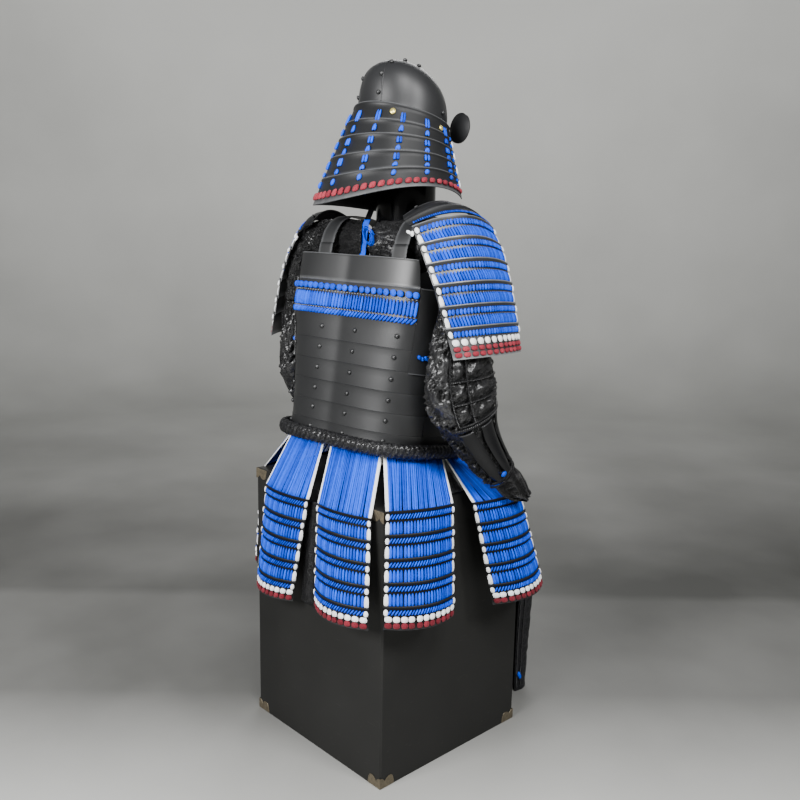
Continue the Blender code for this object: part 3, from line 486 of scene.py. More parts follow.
chest = edge_loop([0.4160, 0.4142, 0.401, 0.380, 0.3582, 0.3575], 0.0,
                  [0.0030, 0.0024, 0.0024, 0.0024, 0.0024, 0.0027], fill=4)
hung = edge_loop([0.3565, 0.3550, 0.320, 0.2890, 0.2850], 0.0, [0.0022, 0.0016, 0.0014, 0.0016, 0.0022],
                 fill=3)
for name, centre in (("back", 0.0), ("front", 180.0)):

    def upper_plate(share, height, offset, name=name, centre=centre):
        """The cuirass wall between bearings that draw in toward the top edge."""
        edge = section_bearing(read(UPPER, height, name)[0], height)
        return cuirass_at(math.radians(centre) + share * edge, height, offset)

    pieces = [plate(upper_plate, np.linspace(-1.0, 1.0, 80), *loop) for loop in (chest, hung)]
    add(f"cuirass_{name}_upper", pieces, satin_black, f"do_{name}_upper")

# Distance along the section from the spine, so that rivets and knots can be evenly spaced.
fine = np.linspace(-math.pi, math.pi, 2881)
lap_steps = np.linalg.norm(np.diff(cuirass_at(fine, 0.30, PLATE), axis=0), axis=1)
lap = np.concatenate([[0.0], np.cumsum(lap_steps)])
lap -= np.interp(0.0, fine, lap)
LAP_LENGTH = lap[-1] - lap[0]


def lap_bearing(distance):
    """The bearing at a distance in metres along the section from the spine."""
    return np.interp((distance - lap[0]) % LAP_LENGTH + lap[0], lap, fine)


def cuirass_along(distance, height, offset):
    """The cuirass wall at a distance in metres along its section from the spine."""
    return cuirass_at(lap_bearing(distance), height, offset)


def fans_to(rings, columns, first_pole, last_pole):
    """Triangles that close the first and the last ring of a grid of so many rings on two poles."""
    step = np.arange(columns)
    after = (step + 1) % columns
    last = (rings - 1) * columns
    return np.concatenate([np.stack([after, step, np.full(columns, first_pole)], -1),
                           np.stack([last + step, last + after, np.full(columns, last_pole)], -1)])


def bead(sides, along, girth):
    """A closed bead about a line: rings at the shares along it, each of that girth, poles at its ends.
    Across is half the girth times cosine, the height half plus half the girth times sine."""
    along, girth = np.asarray(along, dtype=float), np.asarray(girth, dtype=float)
    angle = np.arange(sides) / sides * 2 * math.pi
    across = 0.5 * girth[1:-1, None] * np.cos(angle)
    high = 0.5 + 0.5 * girth[1:-1, None] * np.sin(angle)
    rings = joined(across, along[1:-1, None], high).reshape(-1, 3)
    points = np.concatenate([rings, [(0.0, along[0], 0.5), (0.0, along[-1], 0.5)]])
    count, pole = len(along) - 2, len(rings)
    return points, grid_faces(count, sides, loop_columns=True), fans_to(count, sides, pole, pole + 1)


def laid(surface, mould, across, width, top, foot, base, high, lean=0.0, sink=0.0, metres=(1.0, 1.0)):
    """Copies of a mould pressed onto a surface, one for each cell of the arrays given. A cell lies at
    across, is so wide, runs from top to foot, stands so high on base, leans sideways on its way down
    and sinks by so much at its foot. Its points carry their width and length in metres and a number."""
    points, quads, fans = mould
    cells = np.broadcast_arrays(across, width, top, foot, base, high, lean, sink)
    across, width, top, foot, base, high, lean, sink = (np.ravel(cell)[:, None] for cell in cells)
    count = len(across)
    side, down, up = points.T
    run = foot - top
    place = surface(across + width * side + lean * (down - 0.5), top + run * down,
                    base + high * up - sink * np.clip(down * 4.0 - 3.0, 0.0, 1.0))
    number = np.random.default_rng(count).random((count, 1))
    silk = joined(width * side * metres[0], run * down * metres[1], number)
    shift = (np.arange(count) * len(points))[:, None, None]
    return body(place, (quads[None] + shift).reshape(-1, 4), (fans[None] + shift).reshape(-1, 3),
                silk=silk.reshape(-1, 3))


RIVET = bead(12, (-0.02, 0.0, 0.12, 0.30, 0.50, 0.70, 0.88, 1.0, 1.02),
             (0.0, 0.20, 0.66, 0.93, 1.0, 0.93, 0.66, 0.20, 0.0))
RIVET_WIDE = 0.0105
RIVET_HIGH = 0.0064
RIVET_SUNK = 0.0012
RIVET_HEIGHTS = (0.251, 0.205, 0.158, 0.1115, 0.067, 0.0225)
RIVET_COLUMNS = np.array([-0.176, -0.0625, 0.036, 0.150])
rivet_laps = np.concatenate([RIVET_COLUMNS, LAP_LENGTH / 2 + RIVET_COLUMNS])
lap_grid, height_grid = np.meshgrid(rivet_laps, RIVET_HEIGHTS)
height_grid = height_grid + 0.012 * np.abs(lap_grid - 0.09).clip(0.0, 0.06)
rivets = laid(cuirass_along, RIVET, lap_grid, RIVET_WIDE, height_grid + RIVET_WIDE / 2,
              height_grid - RIVET_WIDE / 2, PLATE - RIVET_SUNK, RIVET_HIGH)
add("cuirass_rivets", [rivets], satin_black, crease=60.0)


# ------------------------------------------------------------------ laced band of the cuirass
# The upper plate hangs from the lames by one row of blue silk: round knots above, close upright
# cords, and a twisted row below. Plaited flat silk, drawn tight through pairs of punched holes.
def silk(name, dark, light, sheen=0.35, gloss=0.09):
    """Plaited silk: each cord a little different, with herringbone strands along it whose crests are
    painted paler and the grooves between them darker, a painted shading of the plait.
    """
    made = Finish(name, {"Roughness": 0.55, "Sheen Weight": sheen, "Sheen Roughness": 0.45,
                         "Specular IOR Level": gloss}, "blue_lacing", 80.0)
    across, down, number = made.parts(made.mark("silk", "Vector"))
    strands = ((down + abs(across) * 1.1) * 3300.0).sine() * 0.5 + 0.5
    fibres = (across * 9000.0).sine() * 0.5 + 0.5
    # Painted shading: the strands lighten the colour on their crests and darken it between; the cord's
    # number and the noise vary its own tone.
    tone = (number * 0.55 + strands * 0.25 + made.noise(120.0, 3.0) * 0.45 - 0.12).held()
    made.set({"Base Color": made.blend(tone, dark, light)})
    made.relief(strands + fibres * 0.3 + made.noise(900.0, 2.0) * 0.8, 0.00035)
    return made


blue_silk = silk("blue_silk", (0.0005, 0.018, 0.270), (0.0035, 0.105, 0.980), 0.0)
white_silk = silk("white_silk", (0.72, 0.73, 0.74), (0.98, 0.98, 0.97), 0.25, 0.50)
red_silk = silk("red_silk", (0.125, 0.010, 0.018), (0.350, 0.042, 0.060), 0.05)

CORD = bead(6, (0.0, 0.03, 0.12, 0.26, 0.42, 0.65, 0.88, 0.98, 1.0),
            (0.0, 0.34, 0.72, 0.93, 1.0, 1.0, 0.95, 0.5, 0.0))
KNOT = bead(6, (0.0, 0.06, 0.25, 0.50, 0.75, 0.94, 1.0), (0.0, 0.52, 0.92, 1.0, 0.92, 0.52, 0.0))
ROUND = bead(8, (0.0, 0.05, 0.20, 0.50, 0.80, 0.95, 1.0), (0.0, 0.46, 0.82, 1.0, 0.82, 0.46, 0.0))
EYELET = bead(6, (0.0, 0.2, 0.5, 0.8, 1.0), (0.0, 0.8, 1.0, 0.8, 0.0))
HOLE_LINES = (0.3322, 0.2942)
LACED_EDGES = (50.5, 118.5)


def spaced(pitch, jitter=0.0):
    """Even places once round the section, a little shaken, on the upper plates only; and their spacing."""
    count = round(LAP_LENGTH / pitch)
    laps = (np.arange(count) + 0.5) * LAP_LENGTH / count
    laps = laps + (chance.normal(0.0, jitter, count) if jitter else 0.0)
    turned = np.degrees(lap_bearing(laps))
    edges = np.degrees(section_bearing(np.array(LACED_EDGES), 0.32))
    return laps[(abs(turned) < edges[0]) | (abs(turned) > edges[1])], LAP_LENGTH / count


chance = np.random.default_rng(3)
knot_laps, knot_pitch = spaced(0.0172, 0.0006)
cord_laps, cord_pitch = spaced(0.0086, 0.0003)
twist_laps, twist_pitch = spaced(0.0093)
band = [
    laid(cuirass_along, ROUND, knot_laps, 0.0160, 0.3492, 0.3345, 0.0012, 0.0090, 0.0015),
    laid(cuirass_along, CORD, cord_laps, cord_pitch * 0.84, 0.3292, 0.2958, 0.0009, 0.0056, -0.0014),
    laid(cuirass_along, KNOT, twist_laps, twist_pitch * 0.86, 0.2930, 0.2795, 0.0018, 0.0070,
         -twist_pitch * 1.1),
]
add("cuirass_laced_band", band, blue_silk)

rims = [laid(cuirass_along, EYELET, cord_laps, 0.0048, line + 0.0013, line - 0.0013, 0.0006, 0.0026)
        for line in HOLE_LINES]
# The hole rims are painted pale grey: a painted highlight standing for the light caught on their edges.
eyelets = lacquer("rubbed_lacquer_rim", (0.17, 0.17, 0.18), (0.5, 0.5, 0.5), 0.32, 0.6, 0.00002,
                  crease=80.0)
add("cuirass_hole_rims", rims, eyelets)


# ------------------------------------------------------------------ side plates and shoulder straps
# A flat plate is laid over the seam under each arm and tied shut by a knotted cord. Two stiff straps
# riveted to the back plate pass over the shoulders and are tied down in front.
SIDE = {"height": (0.358, 0.300, 0.240, 0.175), "rear": (51.5, 52.0, 52.0, 52.0),
        "front": (112.0, 116.0, 118.0, 118.0)}
SIDE_LIFT = PLATE + LAME_STEP + 0.0006
TIE_BEARING, TIE_PITCH = math.radians(60.0), 0.0085
TIE_HEIGHTS = (0.2130, 0.2105, 0.2125, 0.2100, 0.2120)
TIE_HALF = 0.0048
STRAP = np.array([  # x, y and z of the strap's middle line, from the back plate to the front one
    (0.110, 0.134, 1.140), (0.110, 0.128, 1.180), (0.110, 0.112, 1.222), (0.110, 0.082, 1.249),
    (0.111, 0.030, 1.257), (0.112, -0.050, 1.240), (0.112, -0.108, 1.185), (0.112, -0.137, 1.135)])
STRAP_SHIFT = -0.018
STRAP_HALF = 0.0200
STRAP_CUT = STRAP_HALF * np.array([-1.0, -1.0, -0.6, 0.6, 1.0, 1.0, 0.6, -0.6])[:, None]
STRAP_LIFTS = np.array([0.0019, 0.0001, -0.0005, -0.0005, 0.0001, 0.0019, 0.0023, 0.0023])[:, None]
STRAP_RUBBED = np.array([0.6, 0.7, 0.1, 0.1, 0.7, 0.6, 0.0, 0.0])

outline = edge_loop([0.3575, 0.352, 0.300, 0.240, 0.181, 0.1755], SIDE_LIFT,
                    [0.0024, 0.0020, 0.0020, 0.0020, 0.0020, 0.0024], fill=3)
for side, name in ((1, "right"), (-1, "left")):

    def side_plate(share, height, offset, side=side):
        """The cuirass wall between the plate's slanting rear and front edges."""
        rear, front = (section_bearing(angle, height) for angle in read(SIDE, height, "rear", "front"))
        return cuirass_at(side * (rear + (front - rear) * share), height, offset)

    add(f"side_plate_{name}", [plate(side_plate, np.linspace(0.0, 1.0, 40), *outline)], satin_black,
        f"do_side_plate_{name}")

tie_laps = np.interp(TIE_BEARING, fine, lap) + np.arange(5) * TIE_PITCH
tie_laps = np.concatenate([-tie_laps, tie_laps])
tie_high = np.tile(TIE_HEIGHTS, 2)
ties = laid(cuirass_along, KNOT, tie_laps, 0.0092, tie_high + TIE_HALF, tie_high - TIE_HALF,
            SIDE_LIFT + 0.0012, 0.0070, 0.003)
add("side_plate_ties", [ties], blue_silk)


def through(values, at):
    """A smooth curve through a table's rows, read at fractional row numbers (Catmull-Rom)."""
    values = np.asarray(values, dtype=float)
    last = len(values) - 1
    row = np.clip(np.floor(at).astype(int), 0, last - 1)
    part = (at - row).reshape(np.shape(at) + (1,) * (values.ndim - 1))
    before, start, end, after = (values[np.clip(row + shift, 0, last)] for shift in (-1, 0, 1, 2))
    return 0.5 * (2 * start + (end - before) * part + (2 * before - 5 * start + 4 * end - after) * part ** 2
                  + (3 * start - before - 3 * end + after) * part ** 3)


def unit(way):
    """A way, made one metre long."""
    return way / np.linalg.norm(way, axis=-1, keepdims=True)


for side, name in ((-1, "right"), (1, "left")):

    def strap_at(across, run, offset, side=side):
        """The strap's line at a row number, moved across it and out along its own normal."""
        across, run, offset = np.broadcast_arrays(across, run, offset)
        way = unit((through(STRAP, run + 0.02) - through(STRAP, run - 0.02)) * (0.0, 1.0, 1.0))
        face = joined(0.0, way[..., 2], -way[..., 1])
        face = face * np.where(face[..., 2:] > 0.3, -1.0, 1.0)
        level = joined(across + STRAP_SHIFT, 0.0, 0.0)
        return through(STRAP, run) * (side, 1.0, 1.0) + level + face * offset[..., None]

    rows = np.linspace(0.05, 6.95, 60)
    strip = strap_at(STRAP_CUT, rows[None], STRAP_LIFTS)
    add(f"shoulder_strap_{name}", [wall(strip, rub=np.repeat(STRAP_RUBBED, len(rows)))], satin_black,
        f"watagami_{name}", crease=60.0)


# ------------------------------------------------------------------ waist roll
# A soft roll of black brocade cloth, plaited and tied round the waist over the cuirass's lower edge,
# so that its folds lie in a crushed herringbone.
ROLL_HIGH = 0.0170
ROLL_DEEP = 0.0120
ROLL_RISE = 0.007
ROLL_GRID = (36, 900)
PLAIT_PITCH, PLAIT_SLANT = 0.013, 0.011


def crushed(points, scale, seed, sharp=1.0, waves=9):
    """Crumpled cloth between -1 and 1: crossing folds, each 1 - |sine| of a random slant, averaged."""
    chance = np.random.default_rng(seed)
    slants = chance.normal(size=(waves, 3))
    slants *= (scale * chance.uniform(0.6, 1.7, waves) / np.linalg.norm(slants, axis=1))[:, None]
    bent = points + 0.35 / scale * np.sin(points[..., [1, 2, 0]] * scale * 1.3 + seed)
    phases = bent @ slants.T + chance.uniform(0.0, 6.28, waves)
    folds = (1.0 - np.abs(np.sin(phases))) ** sharp
    return folds.mean(-1) * 2.2 + folds.max(-1) * 0.9 - 1.55


def brocade(name, figure_scale, rough=0.30, deep=0.0009, shade=(0.0010, 0.0010, 0.0013),
            light=(0.012, 0.012, 0.014), coat_rough=0.20):
    """Black figured satin: a woven scroll that is paler and glossier than its ground, over a fine rep, with
    a gloss on the crests of its folds. A painted sheen lightens the colour on fold crests and crinkles, and
    painted shade darkens it in the hollows."""
    made = Finish(name, {"Specular IOR Level": 0.24, "Coat Roughness": coat_rough}, "black_brocade", 85.0)
    fold = made.mark("fold")
    swirl = made.noise(figure_scale * 0.5, 2.0, output="Color")
    wander = made.node("ShaderNodeVectorMath", {"operation": "MULTIPLY_ADD"},
                       {0: swirl, 1: (0.02, 0.02, 0.02), 2: made.place})
    cells = made.node("ShaderNodeTexVoronoi", {"feature": "DISTANCE_TO_EDGE"},
                      {"Vector": wander, "Scale": figure_scale}, "Distance")
    figure = 1.0 - (cells * 7.0).held()
    crinkle = made.noise(260.0, 5.0)
    weave = made.noise(2600.0, 2.0)
    # Painted sheen and shade: the fold mark and the crinkle lighten the colour on crests and darken it in
    # hollows.
    bright = (figure * 0.4 + crinkle * 0.3 + fold * 0.7 - 0.2).held()
    made.set({"Base Color": made.blend(bright, shade, light),
              "Coat Weight": (fold * 0.9 + (crinkle - 0.52) * 3.0).held(),
              "Roughness": (rough + 0.20 - figure * 0.18 + weave * 0.08 - fold * 0.06)})
    made.relief(figure * 0.5 + crinkle * 1.6 + abs(made.noise(95.0, 4.0) - 0.5) * 3.0 + weave * 0.25, deep)
    return made


def circle(count):
    """So many even turns of one circle."""
    return np.linspace(0.0, 2 * math.pi, count, endpoint=False)


black_brocade = brocade("black_brocade", 170.0)
turns = circle(ROLL_GRID[0])[:, None]
walks = np.linspace(-math.pi, math.pi, ROLL_GRID[1], endpoint=False)[None]
run = np.interp(walks, fine, lap)
slant = PLAIT_SLANT * np.abs(np.sin(turns / 2 - 0.2)) ** 1.2
plait = (np.abs((run + slant) % PLAIT_PITCH / PLAIT_PITCH - 0.5) * 2) ** 0.8
noise = crushed(joined(run, np.cos(turns) * 0.012, np.sin(turns) * 0.017), 420.0, 5)
swell = 0.86 + 0.13 * plait + 0.085 * noise
clear = PLATE + LAME_STEP + ROLL_DEEP + 0.0006
roll = cuirass_at(walks, ROLL_RISE + ROLL_HIGH * np.sin(turns) * swell,
                  clear + ROLL_DEEP * np.cos(turns) * np.where(np.cos(turns) > 0, swell, 0.98))
roll_faces = grid_faces(*ROLL_GRID, loop_rows=True, loop_columns=True)
# The fold mark paints sheen on the roll's crests and shade in its hollows.
roll_fold = (0.35 * plait + 0.9 * noise).ravel()
belt = add("waist_roll", [body(roll, roll_faces, fold=roll_fold)], black_brocade, "waist_belt", crease=80.0)


# ------------------------------------------------------------------ skirt panels
# Seven tassets of five lacquered lames each. Every lame has a lipped upper edge, a twisted row of
# blue silk, and close upright cords that run down behind the next lame's lip. White cord edges each
# panel; the last lame carries a row of white and a row of red cross knots.
TASSETS = {  # angles on the waist ring, then first lame and hem: x, y, z, yaw, width
    "back_left": ((-41.0, -1.2), (0.108, 0.256, 0.628, -8, 0.166), (0.154, 0.274, 0.370, -12, 0.150)),
    "back_right": ((0.2, 39.5), (-0.095, 0.280, 0.631, -1, 0.158), (-0.109, 0.323, 0.396, -6, 0.172)),
    "right": ((41.0, 95.5), (-0.261, 0.200, 0.654, 63, 0.156), (-0.296, 0.227, 0.405, 65, 0.166)),
    "front_right": ((97.5, 146.0), (-0.303, -0.036, 0.634, 80, 0.156), (-0.354, -0.095, 0.387, 84, 0.186)),
    "front": ((150.0, 210.0), (-0.022, -0.228, 0.679, 176, 0.160), (-0.030, -0.300, 0.410, 174, 0.180)),
    "front_left": ((214.0, 262.0), (0.270, -0.104, 0.634, 253, 0.156), (0.318, -0.134, 0.390, 252, 0.182)),
    "left": ((264.5, 317.0), (0.301, 0.094, 0.634, 280, 0.150), (0.326, 0.112, 0.392, 284, 0.172)),
}
TASSET_TILT = (8.0, 3.0)
TASSET_SAG = (0.018, 0.034)
TASSET_LINES = np.linspace(0.0, 1.0, 6)
TASSET_LIP = 0.0040
OVER_BOX = {"down": 0.20, "y": -0.270, "z": 0.642, "tilt": 20.0, "sag": 0.020}
OVER_BOX_TILT = 48.0
CURTAIN_TOP = -0.0140
EDGES = np.array([-0.945, 0.945])


def tasset_path(top, hem):
    """The path table of one tasset; the front one first lies over the box's upper edge."""
    path = {"down": (0.0, 1.0), "tilt": TASSET_TILT, "sag": TASSET_SAG}
    path.update(zip(("x", "y", "z", "yaw", "width"), zip(top, hem)))
    if top[1] < -0.20:
        middle = dict(OVER_BOX, x=top[0], yaw=top[3], width=(top[4] + hem[4]) / 2)
        path = {key: (ends[0], middle[key], ends[1]) for key, ends in path.items()}
        path["tilt"] = (OVER_BOX_TILT, *path["tilt"][1:])
    return path


def panel_at(path, step, down, offset):
    """A hanging panel: the path's middle line at a share down, moved along its own level line by step
    (-1 to 1) half widths, drawn back by sag times step squared, and out along the bent face."""
    step, down, offset = np.broadcast_arrays(step, down, offset)
    x, y, z, yaw, tilt, width, sag = read(path, down, "x", "y", "z", "yaw", "tilt", "width", "sag")
    yaw, tilt = np.radians(yaw), np.radians(tilt)
    face = np.stack([-np.sin(yaw) * np.cos(tilt), np.cos(yaw) * np.cos(tilt), np.sin(tilt)], -1)
    level = np.stack([-np.cos(yaw), -np.sin(yaw), 0.0 * yaw], -1)
    normal = unit(face + level * (4 * sag / width * step)[..., None])
    return (np.stack([x, y, z], -1) + level * (width / 2 * step)[..., None]
            - face * (sag * step ** 2)[..., None] + normal * offset[..., None])


def panel_length(surface):
    """The length of a panel's middle line, from its top to its hem."""
    middle = surface(0.0, np.linspace(0.0, 1.0, 50), 0.0)
    return np.linalg.norm(np.diff(middle, axis=0), axis=1).sum()


def panel_lames(surface, lines, length, lip):
    """The lames of a laced panel: each a thin plate with a rolled, lipped upper edge that stands
    proud of the foot of the lame above."""
    made = []
    for upper, lower in zip(lines[:-1], lines[1:]):
        run = (lower - upper) * length
        depth = np.array([0.0, lip, lip + 0.004, run * 0.6, run + 0.006 * (lower < 1.0)])
        loop = edge_loop(upper + depth / length, [0.0040, 0.0034, 0.0016, 0.0006, 0.0],
                         [0.0028, 0.0020, 0.0018, 0.0018, 0.0020], 1 / length, fill=2)
        made.append(plate(surface, np.linspace(-1.0, 1.0, 23), *loop))
    return made


def cells(count, start, end, seed=0, loose=0.0):
    """Even places between two limits, their spacing, and a little hand-made unevenness."""
    pitch = (end - start) / count
    places = start + (np.arange(count) + 0.5) * pitch
    return places + np.random.default_rng(seed).normal(0.0, 1.0, count) * pitch * loose, pitch


def laced(surface, metres, lines, last_run, *rows):
    """Lacing repeated on every lame. A row is the list it joins, its mould, places and width, its top
    and foot as shares of the lame, its base, height, lean and sink; one that sinks runs on behind the
    next lame, so the last lame has none."""
    for upper, lower in zip(lines[:-1], lines[1:]):
        last = lower == 1.0
        run = last_run if last else lower - upper
        for kept, mould, places, width, top, foot, base, high, lean, sink in rows:
            if not (last and sink):
                kept.append(laid(surface, mould, places, width, upper + run * top, upper + run * foot,
                                 base, high, lean, sink, metres))


def cross_knots(surface, metres, places, width, top, foot, base, high):
    """Cross knots: two fat beads crossing on the slant, the second over the first."""
    slant = width * 0.16
    return [laid(surface, ROUND, places, width * 0.92, top, foot, base + lift, high, lean, metres=metres)
            for lift, lean in ((0.0, slant), (high * 0.10, -slant))]


def long_bead(sides, rings, inset, girth=1.0):
    """A long cord or bar: a bead of so many rings, even unless their girths are given."""
    return bead(sides, np.concatenate([[0.0], np.linspace(inset, 1.0 - inset, rings), [1.0]]),
                np.concatenate([[0.0], np.ones(rings) * girth, [0.0]]))


LONG_CORD = long_bead(6, 12, 0.004)
tasset_black = lacquer("tasset_satin_lacquer", (0.0016, 0.0017, 0.0019), (0.022, 0.022, 0.023), 0.46, 0.16)
deep_red_silk = silk("deep_red_silk", (0.064, 0.005, 0.009), (0.205, 0.020, 0.032), 0.05)
for order, (name, (ring, top, hem)) in enumerate(TASSETS.items()):
    tasset_at = partial(panel_at, tasset_path(top, hem))
    length = panel_length(tasset_at)
    half = hem[4] / 2
    size = (half, length)
    places, pitch = cells(21, -0.905, 0.905, order, 0.04)
    twist, twist_pitch = cells(24, -0.905, 0.905)
    knots, knot_pitch = cells(11, -0.985, 0.985, order, 0.03)
    blue, white = [], []
    laced(tasset_at, size, TASSET_LINES, 0.2,
          (blue, KNOT, twist, twist_pitch * 0.66, 0.140, 0.370, 0.0026, 0.0050, -twist_pitch * 1.05, 0.0),
          (white, ROUND, EDGES, 0.100, 0.12, 0.40, 0.0024, 0.0060, 0.0, 0.0),
          (blue, CORD, places, pitch * 0.86, 0.46, 1.03, 0.0014, 0.0052, 0.0, 0.0024),
          (white, CORD, EDGES, 0.098, 0.47, 1.03, 0.0016, 0.0046, 0.0, 0.0024))
    white += cross_knots(tasset_at, size, knots, knot_pitch * 0.96, 0.884, 0.935, 0.0010, 0.0052)
    red = cross_knots(tasset_at, size, knots, knot_pitch * 0.96, 0.938, 0.988, 0.0008, 0.0052)
    lames = panel_lames(tasset_at, TASSET_LINES, length, TASSET_LIP)
    add(f"tasset_{name}_lames", lames, tasset_black, f"kusazuri_{name}")
    add(f"tasset_{name}_blue_lacing", blue, blue_silk)
    add(f"tasset_{name}_white_lacing", white, white_silk)
    add(f"tasset_{name}_red_knots", red, deep_red_silk)

    # The curtain of long cords from under the waist roll to the back of the first lame.
    start, end = bearings(*ring, 0.0, 2)

    def head_at(step, start=start, end=end):
        """The curtain's upper edge on the waist ring."""
        return cuirass_at(start + (end - start) * (step + 1) / 2, CURTAIN_TOP, 0.0)

    def curtain_at(step, down, offset, head_at=head_at, tasset_at=tasset_at):
        """Straight from the waist ring down to the first lame, and out along the normal of the sheet,
        whose level way turns from the ring's to the lame's."""
        step, down, offset = np.broadcast_arrays(step, down, offset)
        down, offset = down[..., None], offset[..., None]
        head = head_at(step)
        way = tasset_at(step, 0.0, 0.0012) - head
        side = ((tasset_at(step + 0.02, 0.0, 0.0) - tasset_at(step - 0.02, 0.0, 0.0)) * down
                + (head_at(step + 0.04) - head_at(step - 0.04)) * (1 - down))
        normal = unit(np.cross(way, side))
        normal = normal * np.sign(((head - WAIST) * normal)[..., :2].sum(-1, keepdims=True))
        return head + way * down + normal * offset

    size = (half, np.linalg.norm(np.diff(curtain_at(0.0, np.array([0.0, 1.0]), 0.0), axis=0)))
    chance = np.random.default_rng(40 + order)
    strands, strand_pitch = cells(31, -0.93, 0.93, 40 + order, 0.10)
    wander = chance.normal(0.0, strand_pitch * 0.35, len(strands))
    lifts = chance.uniform(0.0, 0.0011, len(strands))
    widths = strand_pitch * chance.uniform(0.80, 1.00, len(strands))
    curtain = laid(curtain_at, LONG_CORD, strands, widths, -0.02, 1.02, lifts, 0.0026, wander, 0.0, size)
    edges = laid(curtain_at, LONG_CORD, np.array([-0.955, 0.955]), 0.095, -0.02, 1.02, 0.0004, 0.0034,
                 metres=size)
    add(f"tasset_{name}_curtain", [curtain], blue_silk, f"kusazuri_lacing_{name}")
    add(f"tasset_{name}_curtain_edges", [edges], white_silk)


# ------------------------------------------------------------------ shoulder guards
# Each sode is a bent curtain of six laced lames hung from a bare cap plate. Its last lame carries a
# row of white and two rows of red cross knots; a small lacquered knob holds the cap's white cord.
SODES = {
    "right": {"down": (0.0, 0.25, 0.5, 1.0), "x": (-0.240, -0.275, -0.302, -0.341),
              "y": (0.063, 0.061, 0.059, 0.054), "z": (1.257, 1.192, 1.118, 0.971),
              "yaw": (71, 75, 79, 84), "tilt": (40, 26, 16, 8),
              "width": (0.205, 0.222, 0.226, 0.222), "sag": (0.040, 0.038, 0.034, 0.030)},
    "left": {"down": (0.0, 0.25, 0.5, 1.0), "x": (0.236, 0.274, 0.302, 0.342),
             "y": (0.012, 0.004, -0.003, -0.012), "z": (1.240, 1.180, 1.108, 0.965),
             "yaw": (-84, -86, -88, -90), "tilt": (40, 26, 16, 8),
             "width": (0.205, 0.222, 0.226, 0.222), "sag": (0.040, 0.040, 0.038, 0.034)},
}
SODE_LINES = np.array([0.0, 0.160, 0.320, 0.475, 0.630, 0.781, 1.0])
SODE_LIP = 0.0044
SODE_LAST_RUN = 0.155  # the last lame's lacing keeps the others' pitch
CAP = {"down": (0.0, 0.5, 1.0), "tilt": (72.0, 60.0, 44.0), "width": (0.178, 0.206, 0.213),
       "sag": (0.036, 0.041, 0.042)}
CAP_INWARD = np.array([0.052, 0.030, 0.004])
CAP_ABOVE = np.array([0.030, 0.027, 0.007])
CAP_LONG = 0.062

cap_black = lacquer("cap_satin_lacquer", (0.0040, 0.0042, 0.0046), (0.060, 0.062, 0.065), 0.50, 0.22)
sode_black = lacquer("sode_satin_lacquer", (0.0060, 0.0062, 0.0068), (0.160, 0.164, 0.170), 0.38, 0.65)
cap_loop = edge_loop([0.0, 0.03, 0.10, 0.50, 0.60, 0.635, 0.67, 0.96, 1.0], 0.0,
                     [0.0034, 0.0030, 0.0022, 0.0022, 0.0024, 0.0040, 0.0022, 0.0022, 0.0030],
                     1 / CAP_LONG, fill=2)
for order, (name, path) in enumerate(SODES.items()):
    sode_at = partial(panel_at, path)
    length = panel_length(sode_at)
    size = (path["width"][-1] / 2, length)
    places, pitch = cells(30, -0.90, 0.90, order, 0.04)
    rounds, round_pitch = cells(26, -0.90, 0.90, 3 + order, 0.03)
    knots, knot_pitch = cells(12, -0.97, 0.97, order, 0.03)
    blue, white, red, holes = [], [], [], []
    laced(sode_at, size, SODE_LINES, SODE_LAST_RUN,
          (blue, ROUND, rounds, round_pitch * 0.96, 0.165, 0.44, 0.0028, 0.0056, -round_pitch * 0.30, 0.0),
          (white, ROUND, EDGES, 0.078, 0.14, 0.46, 0.0026, 0.0066, 0.0, 0.0),
          (blue, CORD, places, pitch * 0.86, 0.51, 1.03, 0.0016, 0.0058, pitch * 0.55, 0.0026),
          (white, CORD, EDGES, 0.074, 0.50, 1.03, 0.0018, 0.0050, 0.0, 0.0026))
    laced(sode_at, (1.0, 1.0), SODE_LINES, SODE_LAST_RUN,
          (holes, EYELET, places, 0.020, 0.475, 0.520, 0.0020, 0.0012, 0.0, 0.0))
    white += cross_knots(sode_at, size, knots, knot_pitch * 0.84, 0.862, 0.908, 0.0010, 0.0056)
    for top in (0.913, 0.953):
        red += cross_knots(sode_at, size, knots, knot_pitch * 0.90, top, top + 0.034, 0.0008, 0.0052)
    lames = panel_lames(sode_at, SODE_LINES, length, SODE_LIP)
    add(f"sode_{name}_lames", lames, sode_black, f"sode_{name}")
    add(f"sode_{name}_holes", holes, eyelets)
    add(f"sode_{name}_blue_lacing", blue, blue_silk)
    add(f"sode_{name}_white_lacing", white, white_silk)
    add(f"sode_{name}_red_knots", red, red_silk)

    way = math.copysign(1.0, path["x"][0])
    cap_at = partial(panel_at, dict(CAP, y=(path["y"][0],) * 3, yaw=(path["yaw"][0],) * 3,
                                    x=path["x"][0] - way * CAP_INWARD, z=path["z"][0] + CAP_ABOVE))
    stitches, stitch_pitch = cells(46, -0.93, 0.93)
    stitching = laid(cap_at, KNOT, stitches, stitch_pitch * 0.66, 0.90, 1.03, 0.0014, 0.0036, metres=size)
    knob = laid(cap_at, RIVET, 0.70 * way, 0.085, 0.10, 0.22, 0.0010, 0.0092)
    tufts = laid(sode_at, ROUND, np.array([1.030, 1.075]) * way, 0.060, np.array([0.030, 0.008]),
                 np.array([0.075, 0.048]), -0.0010, 0.0068, np.array([0.02, -0.03]) * way, metres=size)
    add(f"sode_cap_{name}_plate", [plate(cap_at, np.linspace(-1.0, 1.0, 41), *cap_loop)], cap_black,
        f"sode_cap_{name}")
    add(f"sode_cap_{name}_stitches", [stitching], blue_silk)
    add(f"sode_cap_{name}_knob", [knob], satin_black, crease=60.0)
    add(f"sode_cap_{name}_tufts", [tufts], white_silk)


